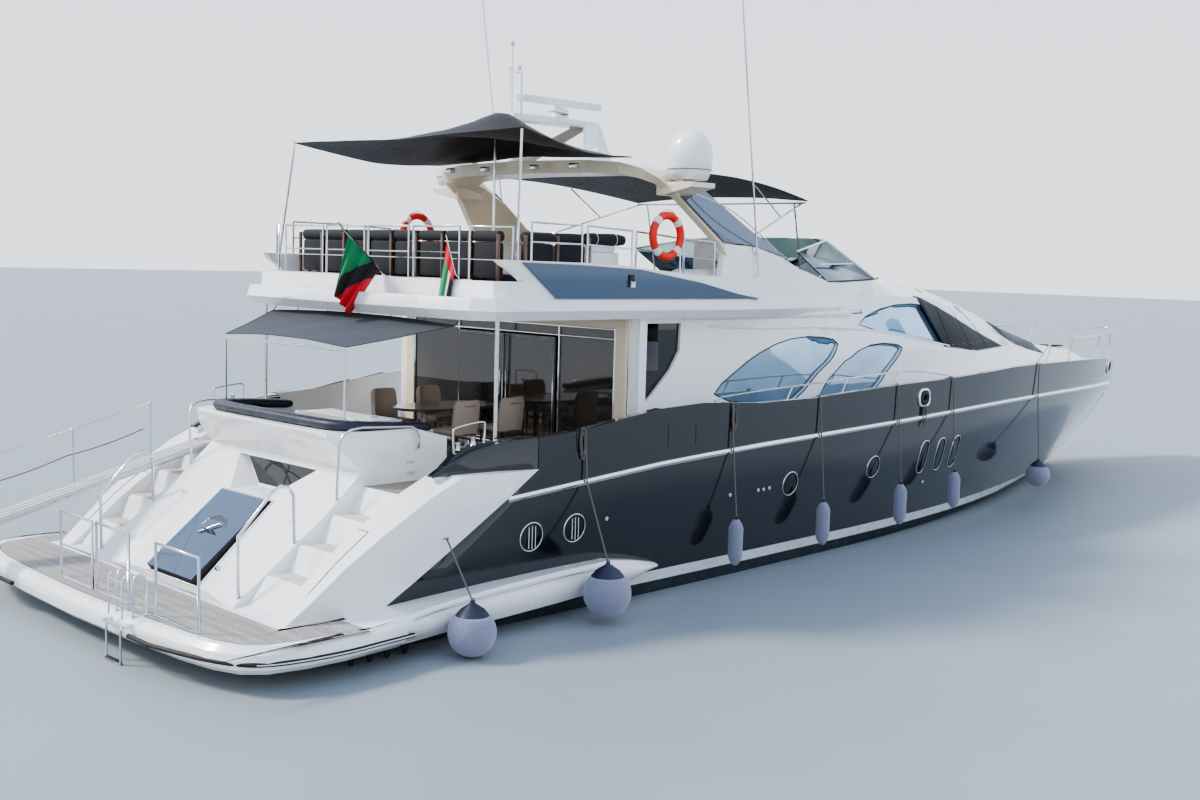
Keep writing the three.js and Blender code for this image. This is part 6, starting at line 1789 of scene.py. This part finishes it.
def pale_world():
    """An even pale sky, a little cooler overhead."""
    world = bpy.data.worlds.new("pale_sky")
    bpy.context.scene.world = world
    world.use_nodes = True
    tree = world.node_tree
    background = tree.nodes["Background"]
    coordinates = tree.nodes.new("ShaderNodeTexCoord")
    split = tree.nodes.new("ShaderNodeSeparateXYZ")
    ramp = tree.nodes.new("ShaderNodeValToRGB")
    tree.links.new(coordinates.outputs["Generated"], split.inputs[0])
    tree.links.new(split.outputs["Z"], ramp.inputs["Fac"])
    tree.links.new(ramp.outputs["Color"], background.inputs["Color"])
    ramp.color_ramp.elements[0].color = (0.86, 0.89, 0.93, 1)
    ramp.color_ramp.elements[1].color = (0.4, 0.56, 0.82, 1)
    background.inputs["Strength"].default_value = 1.25


def lay_floor():
    """A plain grey floor at the waterline."""
    reach = 260.0
    bm = bmesh.new()
    corners = [bm.verts.new((x * reach, y * reach, WATER_Z)) for x, y in ((-1, -1), (1, -1), (1, 1), (-1, 1))]
    bm.faces.new(corners)
    floor_paint = Finish("floor_paint", (0.3, 0.33, 0.35), 0.5)
    floor_paint.colour(floor_paint.mix(floor_paint.noise(0.4, 3), (0.28, 0.31, 0.33), (0.32, 0.35, 0.37)))
    floor = new_object("floor", mesh_of("floor", bm))
    floor.data.materials.append(floor_paint.material)


# Operators


class YachtStep(bpy.types.Operator):
    """Base of the steps: each one makes its pieces, and an error stops the script"""

    bl_options = {"REGISTER", "UNDO"}
    make = None

    def execute(self, context):
        type(self).make()
        return {"FINISHED"}


def step(idname, label, description, make):
    """An operator class for one group of pieces."""
    return type("YACHT_OT_" + idname, (YachtStep,), {
        "bl_idname": "yacht." + idname, "bl_label": label, "__doc__": description,
        "make": staticmethod(make)})


def build_trees():
    """The node trees and the finishes that every later step uses."""
    make_sweep_tree()
    make_repeat_tree()
    make_finishes()


def set_stage():
    """Camera, soft daylight and the pale floor."""
    aim_camera()
    pale_world()
    soft_light("key_sun", "SUN", (-14, 16, 20), (0, 0, 0), 3.0, math.radians(12), (1.0, 0.95, 0.86))
    bpy.context.scene.view_settings.look = "AgX - Medium High Contrast"
    bpy.context.scene.view_settings.exposure = 0.35
    lay_floor()


STEPS = (
    step("finishes", "Finishes", "Make the materials and the node trees", build_trees),
    step("hull", "Hull", "Finish the hull, its portlights and fittings", finish_hull),
    step("stern", "Stern", "Finish the stern, its stairs, hatch and quarters", finish_stern),
    step("platform", "Swim platform", "Finish the swim platform and the ladder", finish_platform),
    step("cockpit", "Cockpit", "Make the sofa, the dining set and the bulkhead", finish_cockpit),
    step("house", "Deckhouse", "Finish the house, its windows, covers and the foredeck", finish_house),
    step("flybridge", "Flybridge", "Finish the flybridge, its seats, rafts and rails", finish_flybridge),
    step("arch", "Radar arch", "Finish the arch, the mast and the domes", finish_arch),
    step("awnings", "Awnings", "Make the three awnings and their frames", finish_awnings),
    step("fenders", "Fenders", "Make the fenders and their lines", finish_fenders),
    step("gangway", "Gangway", "Finish the gangway", finish_gangway),
    step("flags", "Flags", "Make the ensign and the small flag", finish_flags),
    step("running_gear", "Running gear", "Finish the propellers and rudders", finish_running_gear),
    step("stage", "Stage", "Set the camera, the light and the floor", set_stage),
)


class YACHT_PT_steps(bpy.types.Panel):
    """The steps, in order, with the sizes and colours above them"""

    bl_label = "Motor yacht"
    bl_idname = "YACHT_PT_steps"
    bl_space_type = "VIEW_3D"
    bl_region_type = "UI"
    bl_category = "Yacht"

    def draw(self, context):
        for group in (context.scene.yacht_sizes, context.scene.yacht_colours):
            box = self.layout.box()
            for name in group.__annotations__:
                box.prop(group, name)
        for operator in STEPS:
            self.layout.operator(operator.bl_idname)


CLASSES = (YachtSizes, YachtColours, *STEPS, YACHT_PT_steps)


def register():
    for cls in CLASSES:
        bpy.utils.register_class(cls)
    bpy.types.Scene.yacht_sizes = bpy.props.PointerProperty(type=YachtSizes)
    bpy.types.Scene.yacht_colours = bpy.props.PointerProperty(type=YachtColours)


def unregister():
    del bpy.types.Scene.yacht_colours
    del bpy.types.Scene.yacht_sizes
    for cls in reversed(CLASSES):
        bpy.utils.unregister_class(cls)


def main():
    """Registers the add-on and runs its steps in order."""
    register()
    for operator in STEPS:
        getattr(bpy.ops.yacht, operator.bl_idname.split(".")[1])()


if __name__ == "__main__":
    main()
